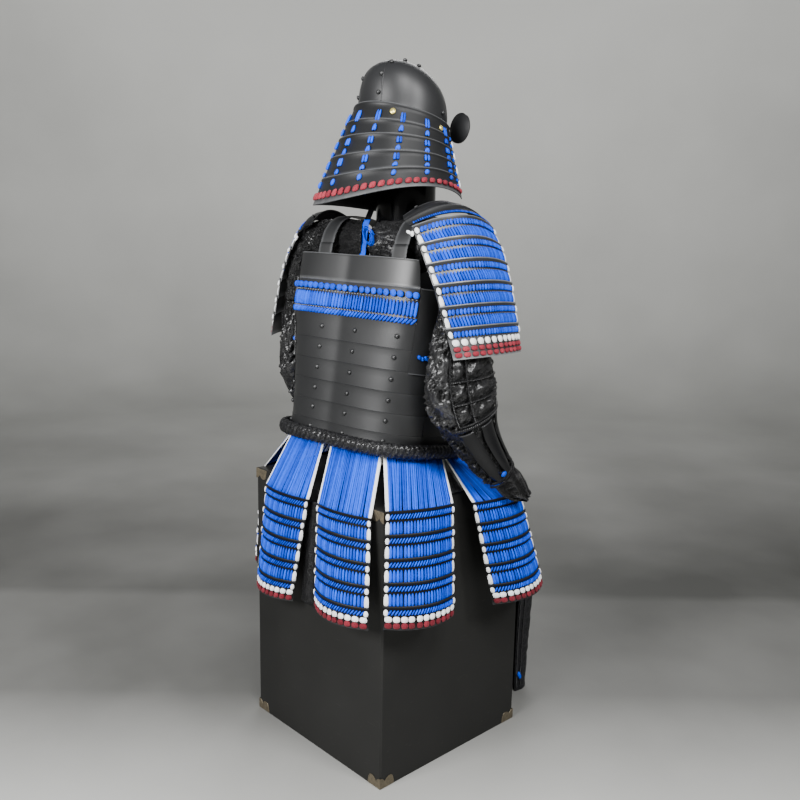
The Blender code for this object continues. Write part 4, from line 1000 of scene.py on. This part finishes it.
# ------------------------------------------------------------------ sleeves
# Puffed sleeves of crumpled black figured satin, drawn in by a net of twisted black cord. Long
# gloss-lacquered splints lie on the forearms, and curved cloth covers hang over the hands.
SLEEVES = {  # rings from the neck to the wrist: reach from the midline, height, half sizes
    "reach": (0.044, 0.122, 0.184, 0.235, 0.257, 0.263, 0.268, 0.272, 0.277, 0.287, 0.296, 0.303),
    "z": (1.193, 1.191, 1.201, 1.148, 1.062, 0.980, 0.908, 0.848, 0.798, 0.756, 0.722, 0.693),
    "y_right": (0.080, 0.047, 0.050, 0.060, 0.076, 0.085, 0.086, 0.076, 0.054, 0.030, 0.005, -0.022),
    "y_left": (0.080, 0.046, 0.042, 0.036, 0.024, 0.010, -0.004, -0.024, -0.056, -0.090, -0.122, -0.152),
    "rise": (0.055, 0.060, 0.043, 0.030, 0.035, 0.044, 0.056, 0.059, 0.052, 0.045, 0.040, 0.034),
    "breadth": (0.040, 0.058, 0.062, 0.062, 0.070, 0.081, 0.094, 0.084, 0.062, 0.051, 0.044, 0.037),
}
CLOTHS = (  # piece, node, first and last ring, rows, flat size
    ("shoulder_cloth", "kote_shoulder", 0.0, 3.99, 72, (0.34, 0.26)),
    ("sleeve_cloth", "kote_sleeve", 4.01, 11.0, 150, (0.50, 0.44)),
)
SLEEVE_SIDES = 120
NET_ROWS = (5.0, 5.80, 6.42, 7.12)
NET_ANGLES = np.radians([-57.0, -29.0, 66.0, 104.0])
NET_WIDE = 0.0044
NET_MIDDLE, NET_HALF = math.radians(23.5), math.radians(88.0)  # the part of the turn that it covers
SPLINTS = {"outer": -8.0, "rear": -52.0, "front": 36.0}
SPLINT_START, SPLINT_LONG = 7.45, 3.30  # in rings of the sleeve
SPLINT_HALF = 17.0  # degrees of the sleeve's turn
SPLINT_TAPER = (0.80, 1.0, 1.0, 0.97, 0.86, 0.62)
SPLINT_CROWN = 0.0022
PIPING = ((7.26, -75.0, 55.0, 0.0052), (10.60, -78.0, 62.0, 0.0064), (10.95, -100.0, 90.0, 0.0060))
PLEATS_ROUND, PLEATS_DOWN = 4.3, 16.0  # radians of pleat to a half arch and to a metre
HAND_LONG = 0.094
HAND_SPAN = (84.0, 80.0, 64.0, 24.0)
HAND_SCALE = (1.0, 1.04, 0.96, 0.84)


def sleeve_axes(side, name):
    """The ring centres of one sleeve with their outward and forward axes."""
    centre = np.stack([side * np.array(SLEEVES["reach"]), SLEEVES["y_" + name], SLEEVES["z"]], 1)
    centre[0, 0] += 0.005 if side < 0 else -0.030
    along = unit(np.gradient(centre, axis=0))
    fore = unit(np.array([0.0, -1.0, 0.0]) - along * (along @ (0.0, -1.0, 0.0))[:, None])
    out = np.cross(along, fore)
    out *= np.sign(out[:, :1] * side + out[:, 2:] * 0.6)
    fore[0] = (side * 0.42, -0.9, 0.0)
    return centre, out, fore


def round_arm(axes, row, angle, offset):
    """An elliptical arm tube, bent along its ring centres: centre + out rise cos + fore breadth sin."""
    row, angle, offset = np.broadcast_arrays(row, angle, offset)
    centre, out, fore = (through(values, row) for values in axes)
    rise, breadth = (through(SLEEVES[key], row) for key in ("rise", "breadth"))
    return (centre + out * ((rise + offset) * np.cos(angle))[..., None]
            + fore * ((breadth + offset) * np.sin(angle))[..., None])


def puffed(row, angle, seed):
    """How far crumpled cloth stands from the tube: it is drawn in along every cord of the net and
    puffs up between them in sharp small folds; round the neck and the wrist it is gathered."""
    row, angle = np.broadcast_arrays(row, angle)
    below = np.clip((row - 4.2) * 1.6, 0.0, 1.0)
    inside = below * np.clip((7.3 - row) * 3.0, 0.0, 1.0)
    rows = np.min([np.abs(row - line) / 0.32 for line in NET_ROWS], axis=0)
    lines = np.min([np.abs(np.sin((angle - line) / 2)) / 0.13 for line in NET_ANGLES], axis=0)
    turned = (angle - NET_MIDDLE + math.pi) % (2 * math.pi) - math.pi
    netted = np.clip((NET_HALF - np.abs(turned)) / math.radians(10.0), 0.0, 1.0)
    cell = 1.0 - netted * (1.0 - np.clip(np.minimum(rows, lines), 0.0, 1.0))
    points = np.stack([row * 0.075, np.cos(angle) * 0.07, np.sin(angle) * 0.07], -1)
    folds = crushed(points, 95.0, seed, 2.0, 7) * 0.6 + crushed(points, 210.0, seed + 7, 1.3, 7) * 0.5
    drape = 1.0 - np.abs(np.sin(row * 2.9 - angle * 2.3 + 1.6 * folds)) - 0.5
    free = (1.0 - netted) * below
    return (inside * (0.011 * cell ** 0.6 - 0.003) + (0.0040 + 0.0035 * inside + 0.0020 * free) * folds
            + free * 0.0070 * drape)


def cut_cloth(made, flat, held, thick=0.0013, **more):
    """A cut piece of cloth, given its thickness inward."""
    shell = made.modifiers.new("Solidify", "SOLIDIFY")
    shell.thickness = thick
    shell.offset = -1.0


black_satin = brocade("crumpled_black_satin", 120.0, 0.34, 0.0030, (0.0005, 0.0005, 0.0006),
                      (0.009, 0.009, 0.010), 0.33)
gloss_black = lacquer("gloss_black_splint", (0.0022, 0.0023, 0.0028), (0.05, 0.05, 0.052), 0.13, 0.22,
                      0.000012)
twisted = Finish("twisted_black_cord", {"Roughness": 0.33, "Specular IOR Level": 0.35}, "black_brocade",
                 80.0)
across, down = twisted.parts(twisted.mark("silk", "Vector"))[:2]
# Painted sheen and shade: the plies lighten the colour on their crests and darken it between them.
plies = ((down + across * 0.9) * 1700.0).sine() * 0.5 + 0.5
twisted.set({"Base Color": twisted.blend(plies, (0.0009, 0.0009, 0.0011), (0.011, 0.011, 0.012))})
twisted.relief(plies, 0.0016)
strand = long_bead(7, 90, 0.002)
splint_loop = edge_loop([SPLINT_START, 7.50, 9.0, 10.70, 10.75], 0.0012,
                        [0.0020, 0.0024, 0.0024, 0.0024, 0.0018], 22.0, fill=8)

for side, name in ((-1, "right"), (1, "left")):
    axes = sleeve_axes(side, name)
    arm_round = partial(round_arm, axes)

    def arm_at(angle, row, offset, arm_round=arm_round):
        return arm_round(row, angle, offset)

    turns = circle(SLEEVE_SIDES)[None]
    for part, node, start, end, count, flat in CLOTHS:
        rows = np.linspace(start, end, count)[:, None]
        lift = puffed(rows, turns, 11 + side)
        # The fold mark paints sheen on the puffs' crests and shade in their hollows.
        folds = ((lift - lift.mean()) / 0.009 + 0.35).clip(-0.4, 1.0).ravel()
        tube = body(arm_at(turns, rows, lift - 0.001),
                    grid_faces(count, SLEEVE_SIDES, loop_columns=True), fold=folds)
        cut_cloth(add(f"{part}_{name}", [tube], black_satin, f"{node}_{name}"), flat, "gathered")

    # The net: long cords down the sleeve and rings round it, and piped bands at both ends of the splints.
    downs = laid(arm_at, strand, NET_ANGLES, NET_WIDE / 0.078, 4.35, NET_ROWS[-1], 0.0010, 0.0046,
                 metres=(0.078, 0.080))
    rounds = laid(arm_round, strand, NET_ROWS, NET_WIDE / 0.066, NET_ANGLES[0], NET_ANGLES[-1],
                  0.0014, 0.0048, metres=(0.066, 0.075))
    add(f"sleeve_cord_net_{name}", [downs, rounds], twisted)

    for place, turn in SPLINTS.items():

        def splint_at(share, row, offset, turn=turn, arm_round=arm_round):
            """A long plate that narrows to both ends and is crowned across."""
            taper = through(SPLINT_TAPER, (row - SPLINT_START) / SPLINT_LONG * 5)
            crown = SPLINT_CROWN * (1 - share ** 2)
            return arm_round(row, np.radians(turn + SPLINT_HALF * taper * share), offset + crown)

        splint = plate(splint_at, np.linspace(-1.0, 1.0, 17), *splint_loop)
        add(f"splint_{place}_{name}", [splint], gloss_black, f"kote_splint_{place}_{name}")

    bands = [laid(arm_round, strand, row, wide / 0.036, math.radians(low), math.radians(high),
                  0.0008, 0.0060, metres=(0.036, 0.06)) for row, low, high, wide in PIPING]
    add(f"sleeve_piping_{name}", bands, twisted)
    stud = laid(arm_at, KNOT, math.radians(-31.0), 0.011 / 0.036, 10.20, 10.46, 0.0050, 0.0060)
    add(f"wrist_blue_knot_{name}", [stud], blue_silk)

    # Hand cover: cut to a rounded point, its edges rolled, and pleated along its length.
    def hand_at(share, down, offset, axes=axes):
        """The hand cover: an arch about the wrist's line that narrows and dips toward the fingers."""
        share, down, offset = np.broadcast_arrays(share, down, offset)
        place = down / HAND_LONG * 3
        centre, out, fore = axes
        half = np.radians(through(HAND_SPAN, place))
        scale = through(HAND_SCALE, place)
        rise = (SLEEVES["rise"][-1] * scale + offset) * np.cos(share * half)
        width = (SLEEVES["breadth"][-1] * scale + offset) * np.sin(share * half)
        return (centre[-1] + unit(centre[-1] - centre[-2]) * (0.002 + down)[..., None]
                + out[-1] * rise[..., None] + fore[-1] * width[..., None])

    shares, downs = np.linspace(-1.0, 1.0, 44)[None], np.linspace(0.0, HAND_LONG, 44)[:, None]
    creases = crushed(joined(shares * 0.05, downs, 0.0), 75.0, 31 + side, 2.2, 6)
    pleats = np.abs(np.sin(shares * PLEATS_ROUND + downs * PLEATS_DOWN + 0.8 * creases)) - 0.5
    creases = creases * 0.0024 + pleats * 0.0046
    rolled = 0.0020 * (np.abs(shares) > 0.90) + 0.0012 * (downs > 0.088)
    # The fold mark paints sheen on the pleats' crests and shade in their creases.
    hand = body(hand_at(shares, downs, creases + rolled), grid_faces(44, 44),
                fold=(creases / 0.0016 + 0.1).clip(-0.6, 1.6).ravel())
    cut_cloth(add(f"hand_cover_{name}", [hand], black_satin, f"kote_hand_{name}"), (0.110, 0.094), "draped")


# ------------------------------------------------------------------ helmet bowl and visor
# A smooth head-shaped bowl hammered from three plates: a strip front to back between two raised
# seams, held by round-headed rivets. A short curved visor is riveted across its front.
BOWL_CENTRE = np.array([0.0, -0.029, 1.474])
BOWL_TURN = np.array(Euler((math.radians(14.0), math.radians(1.8), 0.0)).to_matrix())
BOWL_RADIUS = 0.104
BOWL_WIDE = 0.101
BOWL_RATIO = 1.08
BOWL_HIGH = 0.120
BOWL_THICK = 0.0022
BOWL_POWER = 2.85
CROWN_BACK = 0.0325
HELMET_TURN = -9.0  # degrees that the helmet looks to one side
SEAM_ANGLES = np.radians([13.3, -31.3, 193.3, 148.7])
BOWL_RIVETS = {  # angle: how high up the bowl
    9.0: (0.185,), 11.0: (0.53,), 22.0: (0.80,), -35.0: (0.208,), -45.0: (0.607,), -51.0: (0.853,),
    52.0: (0.945,), 86.0: (0.897,), 150.0: (0.86, 0.55, 0.22), 190.0: (0.86, 0.55, 0.22),
    100.0: (0.12,), -118.0: (0.12,), -85.0: (0.897,),
}
BOWL_RIVET_WIDE = 0.0094
SEAM_WIDE = 0.0036
VISOR_REACH = (0.0026, 0.016, 0.032)
VISOR_DROP = (0.0, -0.006, -0.020)
VISOR_HALF = 33.0


def bowl_at(angle, rise, offset):
    """The bowl: a ring (-sin a, ratio cos a) shrinking as (1 - rise^2.85)^0.5 and moving back as
    rise^1.5 toward the crown, in its own nodding frame."""
    angle, rise, offset = np.broadcast_arrays(angle, rise, offset)
    share = np.clip(rise, 0.0, 1.0)
    shrink = (1.0 - share ** BOWL_POWER) ** 0.5
    x = -np.sin(angle) * (BOWL_WIDE + offset) * shrink
    y = np.cos(angle) * (BOWL_WIDE * BOWL_RATIO + offset) * shrink + CROWN_BACK * share ** 1.5
    return np.stack([x, y, rise * (BOWL_HIGH + offset)], -1) @ BOWL_TURN.T + BOWL_CENTRE


def domed(rows, first, last):
    """A closed shell: rings one after the other from a first pole to a last pole."""
    count, columns = rows.shape[:2]
    pole = count * columns
    return body(np.concatenate([rows.reshape(-1, 3), [first, last]]),
                grid_faces(count, columns, loop_columns=True), fans_to(count, columns, pole, pole + 1),
                rub=np.zeros(pole + 2))


bowl_black = lacquer("bowl_satin_lacquer", (0.0050, 0.0052, 0.0058), (0.12, 0.122, 0.126), 0.43, 0.36,
                     0.00002, crease=60.0)
rises = np.sin(np.radians(np.concatenate([[-2.9], np.linspace(0.0, 84.0, 44), [86.5, 88.4]])))[:, None]
shell = np.concatenate([bowl_at(circle(96), rises[::-1], -BOWL_THICK), bowl_at(circle(96), rises, 0.0)])
poles = [BOWL_TURN @ (0.0, CROWN_BACK, BOWL_HIGH - inset) + BOWL_CENTRE for inset in (BOWL_THICK, 0.0)]
add("helmet_bowl", [domed(shell, *poles)], bowl_black, "hachi_bowl")

seam_girth = 0.3 + 0.7 * np.sin(np.linspace(0.35, math.pi - 0.35, 40))
seams = laid(bowl_at, long_bead(8, 40, 0.01, seam_girth), SEAM_ANGLES, SEAM_WIDE / BOWL_RADIUS, 0.0, 0.90,
             -0.0012, 0.0026)
add("helmet_bowl_seams", [seams], bowl_black)
rivets = []
for angle, heights_up in BOWL_RIVETS.items():
    angle = math.radians(angle)
    for rise in heights_up:
        shrink = (1.0 - rise ** BOWL_POWER) ** 0.5
        slope = np.linalg.norm(bowl_at(angle, rise + 0.01, 0.0) - bowl_at(angle, rise - 0.01, 0.0)) / 0.02
        half = BOWL_RIVET_WIDE / 2 / slope
        rivets.append(laid(bowl_at, RIVET, angle, BOWL_RIVET_WIDE / (BOWL_RADIUS * shrink), rise + half,
                           rise - half, -0.0016, 0.0078))
add("helmet_bowl_rivets", rivets, satin_black, crease=60.0)


def visor_at(share, reach, offset):
    """The visor: rings about the bowl's base that reach out and drop, drawn in toward both ends."""
    share, reach, offset = np.broadcast_arrays(share, reach, offset)
    span = np.radians(HELMET_TURN + VISOR_HALF * share)
    out, drop = through(VISOR_REACH, reach * 2), through(VISOR_DROP, reach * 2)
    ends = out * np.cos(share * 1.26).clip(0.12, 1.0) + 0.0016
    flat = np.stack([np.sin(span) * (BOWL_RADIUS + ends), -np.cos(span) * (BOWL_RADIUS * BOWL_RATIO + ends),
                     drop + offset], -1)
    return flat @ BOWL_TURN.T + BOWL_CENTRE


visor_loop = edge_loop([0.0, 0.5, 0.94, 1.0], 0.0, [0.0020, 0.0020, 0.0022, 0.0030], 30.0, fill=5)
visor = plate(visor_at, np.linspace(-1.0, 1.0, 41), *visor_loop)
add("helmet_visor", [visor], satin_black, "mabizashi_visor")


# ------------------------------------------------------------------ neck guard and turned-back plates
# Five lames with rolled upper edges flare out from the bowl. Columns of paired blue cords and knots
# hold them together, white beads edge the front, and red cross knots run above the rim.
RIM_CENTRE = np.array([0.002, 0.014, 1.287])
RIM_RADIUS = 0.165
RIM_SAG = 0.0135
GUARD_LINES = (0.0, 0.190, 0.352, 0.550, 0.756, 1.0)
GUARD_OVERLAP = 0.022
GUARD_LONG = 0.190
GUARD_MIDDLE = 0.135  # the radius half way down, by which the lacing is measured
FRONT_BLUE, FRONT_WHITE, RIM_END = 117.0, 123.5, 126.0
STUDS = ((31.7, 0.093), (90.9, 0.125), (-49.7, 0.093), (-108.9, 0.125))
STUD_WIDE, STUD_HALF = 0.0135, 0.036  # metres across, and half its height as a share of the guard
DISC_REACH, DISC_UP = 0.1335, 1.459
DISC_PLACE, DISC_FACING = 134.2, 81.5
DISC_HALF = (0.0370, 0.0345)
DISC_FACE, DISC_CROWN = 0.0009, 0.0060


def guard_at(angle, share, offset):
    """The neck guard: ellipses whose centre, size, nod and roll run from the bowl's base (share 0) to
    the rim (share 1); the rim hangs lower at the nape."""
    angle, share, offset = np.broadcast_arrays(angle, share, offset)
    nod = np.radians(14.0 * (1 - share) + 4.0 * share)
    roll = np.radians(-1.8 * (1 - share) + 5.9 * share)
    radius = BOWL_RADIUS * (1 - share) + RIM_RADIUS * share + offset * 0.92
    across = joined(np.cos(roll), 0.0, -np.sin(roll)) * (-np.sin(angle) * radius)[..., None]
    back = joined(0.0, np.cos(nod), np.sin(nod)) * (np.cos(angle) * radius * BOWL_RATIO)[..., None]
    lift = offset * 0.30 - share * RIM_SAG * np.cos(2 * (angle - math.radians(HELMET_TURN)))
    centre = BOWL_CENTRE * (1 - share[..., None]) + RIM_CENTRE * share[..., None]
    return centre + across + back + lift[..., None] * (0.0, 0.0, 1.0)


guard_black = lacquer("guard_satin_lacquer", (0.0045, 0.0047, 0.0051), (0.085, 0.087, 0.090), 0.47, 0.22)
guard_span = np.radians(HELMET_TURN + np.linspace(-128.0, 128.0, 110))
for index in range(5):
    last = index == 4
    top = GUARD_LINES[index]
    low = GUARD_LINES[index + 1] + GUARD_OVERLAP * (not last)
    depth = np.array([0.0, 0.0030, 0.0060, 0.5 * (low - top) * GUARD_LONG, (low - top) * GUARD_LONG])
    loop = edge_loop(top + depth / GUARD_LONG, [0.0030, 0.0030, 0.0024, 0.0013, 0.0],
                     [0.0032, 0.0026, 0.0014, 0.0014, 0.0016 + 0.0010 * last], 1 / GUARD_LONG, fill=2)
    lame = plate(guard_at, guard_span, *loop)
    add(f"neck_guard_lame_{index + 1}", [lame], guard_black, f"shikoro_{index + 1}")

columns = np.radians(HELMET_TURN + 26.4 * np.arange(-4, 5))
turn_wide = 0.0040 / GUARD_MIDDLE
paired = np.concatenate([columns - turn_wide * 0.78, columns + turn_wide * 0.78])
both = np.array([-1.0, 1.0])
front_blue, front_white = (np.radians(HELMET_TURN + turn * both) for turn in (FRONT_BLUE, FRONT_WHITE))
size = (GUARD_MIDDLE, GUARD_LONG)
lace = partial(laid, guard_at, metres=size)
blue = [lace(CORD, paired, turn_wide * 1.40, top, foot, 0.0022, 0.0066, turn_wide * 0.3)
        for top, foot in ((0.090, 0.212), (0.386, 0.462), (0.585, 0.666))]
blue += [lace(KNOT, columns + lean * turn_wide * 0.40, turn_wide * 1.70, top, foot, 0.0024,
              0.0062 + 0.0006 * lean, lean * turn_wide * 0.7)
         for top, foot in ((0.250, 0.325), (0.490, 0.553), (0.694, 0.744)) for lean in (-1.0, 1.0)]
blue += [lace(ROUND, columns, turn_wide * 2.3, 0.786, 0.852, 0.0012, 0.0084)]
blue += [lace(KNOT, front_blue, turn_wide * 1.6, middle - 0.028, middle + 0.028, 0.0018, 0.0062)
         for middle in (0.20, 0.30, 0.40, 0.50, 0.60, 0.70, 0.80, 0.88)]
white = [lace(CORD, front_white, turn_wide * 1.25, top, foot, 0.0016, 0.0056)
         for top, foot in ((0.20, 0.29), (0.35, 0.46), (0.54, 0.67), (0.74, 0.87))]
knots, pitch = cells(39, math.radians(HELMET_TURN - RIM_END), math.radians(HELMET_TURN + RIM_END), 8, 0.03)
add("neck_guard_blue_lacing", blue, blue_silk)
add("neck_guard_white_edging", white, white_silk)
red = cross_knots(guard_at, size, knots, pitch * 0.86, 0.893, 0.962, 0.0008, 0.0072)
add("neck_guard_red_knots", red, red_silk)

brass = Finish("pale_gilt_brass", {"Metallic": 0.75, "Roughness": 0.34}, "black_lacquer", 60.0)
tarnish = brass.noise(240.0, 3.0)
brass.set({"Base Color": brass.blend(tarnish, (0.62, 0.50, 0.12), (0.86, 0.76, 0.26))})
turns, shares = np.array(STUDS).T
studs = laid(guard_at, RIVET, np.radians(turns), STUD_WIDE / 0.118, shares - STUD_HALF, shares + STUD_HALF,
             0.0018, 0.0058)
add("neck_guard_gilt_studs", [studs], brass)

disc_turn = circle(48)[:, None]
scales = np.array([0.02, 0.25, 0.50, 0.72, 0.88, 0.955, 0.985, 1.0])
shares = np.concatenate([scales, scales[::-1]])[:, None, None]
lifts = np.concatenate([DISC_FACE + 0.0012 * (scales > 0.97), np.full(8, -DISC_FACE)])[:, None, None]
lifts = lifts + DISC_CROWN * (1.0 - shares ** 2)
for side, name in ((1, "right"), (-1, "left")):
    place, facing = (math.radians(HELMET_TURN + side * turn) for turn in (DISC_PLACE, DISC_FACING))
    centre = np.array([-DISC_REACH * math.sin(place), BOWL_CENTRE[1] + DISC_REACH * math.cos(place),
                       DISC_UP])
    wide = np.array([-math.sin(facing), math.cos(facing), 0.0])
    high = np.array([0.0, -0.10, 0.995])
    face = np.cross(wide, high)
    face *= np.sign(face[1])
    rings = (centre + wide * (DISC_HALF[0] * shares * np.cos(disc_turn))
             + high * (DISC_HALF[1] * shares * np.sin(disc_turn)) + face * lifts)
    disc = domed(rings, centre + face * (DISC_CROWN + DISC_FACE), centre + face * (DISC_CROWN - DISC_FACE))
    add(f"turned_back_plate_{name}", [disc], satin_black, f"fukigaeshi_{name}")


# ------------------------------------------------------------------ thigh and shin guards
# Cloth aprons hang over the box's edge behind the front tassets. Padded shin guards of dark cloth,
# bound in figured cloth and piping, stand open at the calf in front of the box.
SHIN_Y = -0.336
SHIN = {"z": (0.0, 0.05, 0.14, 0.24, 0.32, 0.372, 0.400),
        "radius": (0.055, 0.056, 0.059, 0.063, 0.063, 0.061, 0.059),
        "span": (118.0, 120.0, 122.0, 122.0, 118.0, 100.0, 70.0)}
SHIN_QUILT = 50.0  # radians of quilting to a metre of height

for name, x, phase in (("right", -0.128, 0.4), ("left", 0.082, 1.7)):
    shift = math.tan(math.radians(7.8)) * x
    apron = {"down": (0.0, 0.10, 0.16, 1.0), "x": (x, x, x, x + 0.004),
             "y": (-0.186 - shift * 0.4, -0.224 - shift, -0.238 - shift, -0.246 - shift),
             "z": (0.656, 0.6535, 0.632, 0.262), "yaw": (172.2,) * 4, "tilt": (80.0, 55.0, 4.0, 0.0),
             "width": (0.180, 0.184, 0.186, 0.200), "sag": (0.0, 0.0, 0.0, 0.004)}
    steps, downs = np.linspace(-1.0, 1.0, 56)[None], np.linspace(0.0, 1.0, 84)[:, None]
    flare = np.clip((downs - 0.2) / 0.8, 0.0, 1.0)
    pleats = 0.0042 * flare * np.sin(steps * 7.5 + phase + 0.7 * np.sin(downs * 3.0 + phase))
    puckers = 0.0012 * crushed(joined(steps * 0.1, downs * 0.4, 0.0), 60.0, 21, 1.5, 6)
    # The fold mark paints sheen on the puckers' crests and shade in their hollows.
    hung = body(panel_at(apron, steps, downs, 0.0030 + pleats + puckers), grid_faces(84, 56),
                fold=(puckers / 0.0012 + 0.2).ravel())
    cloth = add(f"thigh_guard_{name}", [hung], black_brocade, f"haidate_{name}")
    cut_cloth(cloth, (0.200, 0.460), "draped", rests_on=["stand_lid"])

dark_cloth = brocade("dark_shin_cloth", 60.0, 0.60, 0.0004, (0.0035, 0.0035, 0.0040), (0.020, 0.020, 0.023))
for name, x in (("right", -0.150), ("left", 0.104)):

    def shin_at(share, height, offset, x=x):
        """A bent shin plate: an arc about an upright line, of a radius and span read up its height."""
        share, height, offset = np.broadcast_arrays(share, height, offset)
        radius, span = read(SHIN, height, "radius", "span")
        turn = np.radians(share * span)
        out = radius + offset
        return np.stack([x + np.sin(turn) * out, SHIN_Y - np.cos(turn) * out, height], -1)

    levels = np.concatenate([[0.0, 0.0016, 0.004], np.linspace(0.008, 0.396, 64), [0.3985, 0.400]])[:, None]
    shares = np.linspace(-1.0, 1.0, 64)[None]
    puckers = 0.0010 * crushed(joined(shares * 0.12, levels, 0.0), 70.0, 9, 1.4, 6)
    quilted = 0.0016 * np.sqrt(np.abs(np.cos(levels * SHIN_QUILT))) * (np.abs(shares) < 0.84)
    edge_in = np.clip((1.0 - np.abs(shares)) / 0.03, 0.0, 1.0) ** 0.5
    front = body(shin_at(shares, levels, (puckers + quilted) * edge_in), grid_faces(len(levels), 64))
    cloth = add(f"shin_guard_{name}", [front], dark_cloth, f"suneate_{name}")
    cut_cloth(cloth, (0.260, 0.400), "stretched", thick=0.0030)
    places, widths = np.array([-0.955, 0.955, -0.86, 0.86]), np.array([0.034, 0.034, 0.020, 0.020])
    piping = laid(shin_at, strand, places, widths, 0.010, 0.366, 0.0004, 0.0040, metres=(0.12, 1.0))
    add(f"shin_guard_piping_{name}", [piping], twisted)
    places, tops = np.array([-0.93, -0.90, 0.93, 0.90]), np.array([0.060, 0.052, 0.060, 0.052])
    ties = laid(shin_at, KNOT, places, 0.07, tops, tops - 0.014, 0.0030, 0.0066)
    add(f"shin_guard_ties_{name}", [ties], blue_silk)


# ------------------------------------------------------------------ ribbon, bow and sash ends
# A flat woven ribbon falls from the helmet's lining into the cuirass, with a small bow loop beside it;
# its top is painted black, a painted shadow under the helmet. Two ends of the black waist cloth show
# between the skirt panels.
RIBBON = {"down": (0.0, 0.5, 1.0), "x": (0.0, -0.004, -0.006), "y": (0.048, 0.098, 0.114),
          "z": (1.315, 1.240, 1.150), "yaw": (0.0,) * 3, "tilt": (30.0, 20.0, 8.0),
          "width": (0.017,) * 3, "sag": (0.0,) * 3}
RIBBON_SHADOW_END = 0.076  # the ribbon is painted black this far down from its top, a painted shadow under the helmet
BOW_CENTRE = (-0.0280, 0.1150, 1.2115)
BOW_HALF = (0.0165, 0.0225)
SASH_ENDS = {
    "back": {"x": (0.028, 0.036), "y": (0.238, 0.242), "z": (0.618, 0.366), "yaw": (-7.8, -7.8),
             "width": (0.046, 0.062)},
    "side": {"x": (-0.208, -0.238), "y": (0.056, 0.054), "z": (0.690, 0.652), "yaw": (80.0, 82.0),
             "width": (0.040, 0.042)},
}

ribbon_silk = silk("ribbon_silk", (0.0006, 0.019, 0.270), (0.0060, 0.120, 1.0), 0.0)
down = ribbon_silk.parts(ribbon_silk.mark("silk", "Vector"))[1]
painted_shadow_black, deep, bright = (0.0020, 0.0022, 0.0030), (0.0010, 0.035, 0.420), (0.0050, 0.105, 0.950)
ribbon_blue = ribbon_silk.blend(ribbon_silk.noise(120.0, 3.0), deep, bright)
# Painted shadow: the ribbon's top is painted black where it runs up into the helmet's shade; below, it is
# blue.
ribbon_silk.set({"Base Color": ribbon_silk.blend(down.over(RIBBON_SHADOW_END), painted_shadow_black, ribbon_blue)})
steps, downs = np.linspace(-1.0, 1.0, 9)[None], np.linspace(0.0, 1.0, 60)[:, None]
woven = body(panel_at(RIBBON, steps, downs, 0.0012 + 0.0006 * np.cos(steps * 1.5)), grid_faces(60, 9),
             silk=joined(steps * 0.0085, downs * 0.17, 0.5).reshape(-1, 3))
cut_cloth(add("nape_ribbon_silk", [woven], ribbon_silk, "nape_ribbon", crease=85.0), (0.017, 0.180), "hung")

turn = np.linspace(0.25, 4 * math.pi + 0.15, 120)[:, None]
shrink = 1.0 - 0.028 * turn
across = np.linspace(-0.5, 0.5, 6)[None] * 0.0100
bow = joined(BOW_CENTRE[0] - BOW_HALF[0] * shrink * np.cos(turn + 0.4),
             BOW_CENTRE[1] + across * 0.9 + 0.002 * turn / 6,
             BOW_CENTRE[2] + BOW_HALF[1] * shrink * np.sin(turn) + across * 0.5)
bow = body(bow, grid_faces(120, 6), silk=joined(across, turn * 0.017, 0.3).reshape(-1, 3))
cut_cloth(add("ribbon_bow_loop", [bow], blue_silk, crease=85.0), (0.0104, 0.205), "folded")

for name, row in SASH_ENDS.items():
    end = {"down": (0.0, 1.0), "tilt": (0.0, 0.0), "sag": (0.002, 0.002), **row}
    tall = abs(row["z"][1] - row["z"][0])
    steps, downs = np.linspace(-1.0, 1.0, 26)[None], np.linspace(0.0, 1.0, 56)[:, None]
    ripples = 0.0016 * np.sin(steps * 5.0 + 1.2 + downs * 2.0) * np.clip(downs * 2, 0.0, 1.0)
    puckers = 0.0009 * crushed(joined(steps * 0.03, downs * tall, 0.0), 110.0, 3, 1.5, 6)
    hung = body(panel_at(end, steps, downs, 0.0020 + ripples + puckers), grid_faces(56, 26))
    cut_cloth(add(f"sash_end_{name}_cloth", [hung], black_brocade, f"sash_end_{name}"),
              (np.mean(row["width"]) * 1.04, tall * 1.02), "hung")
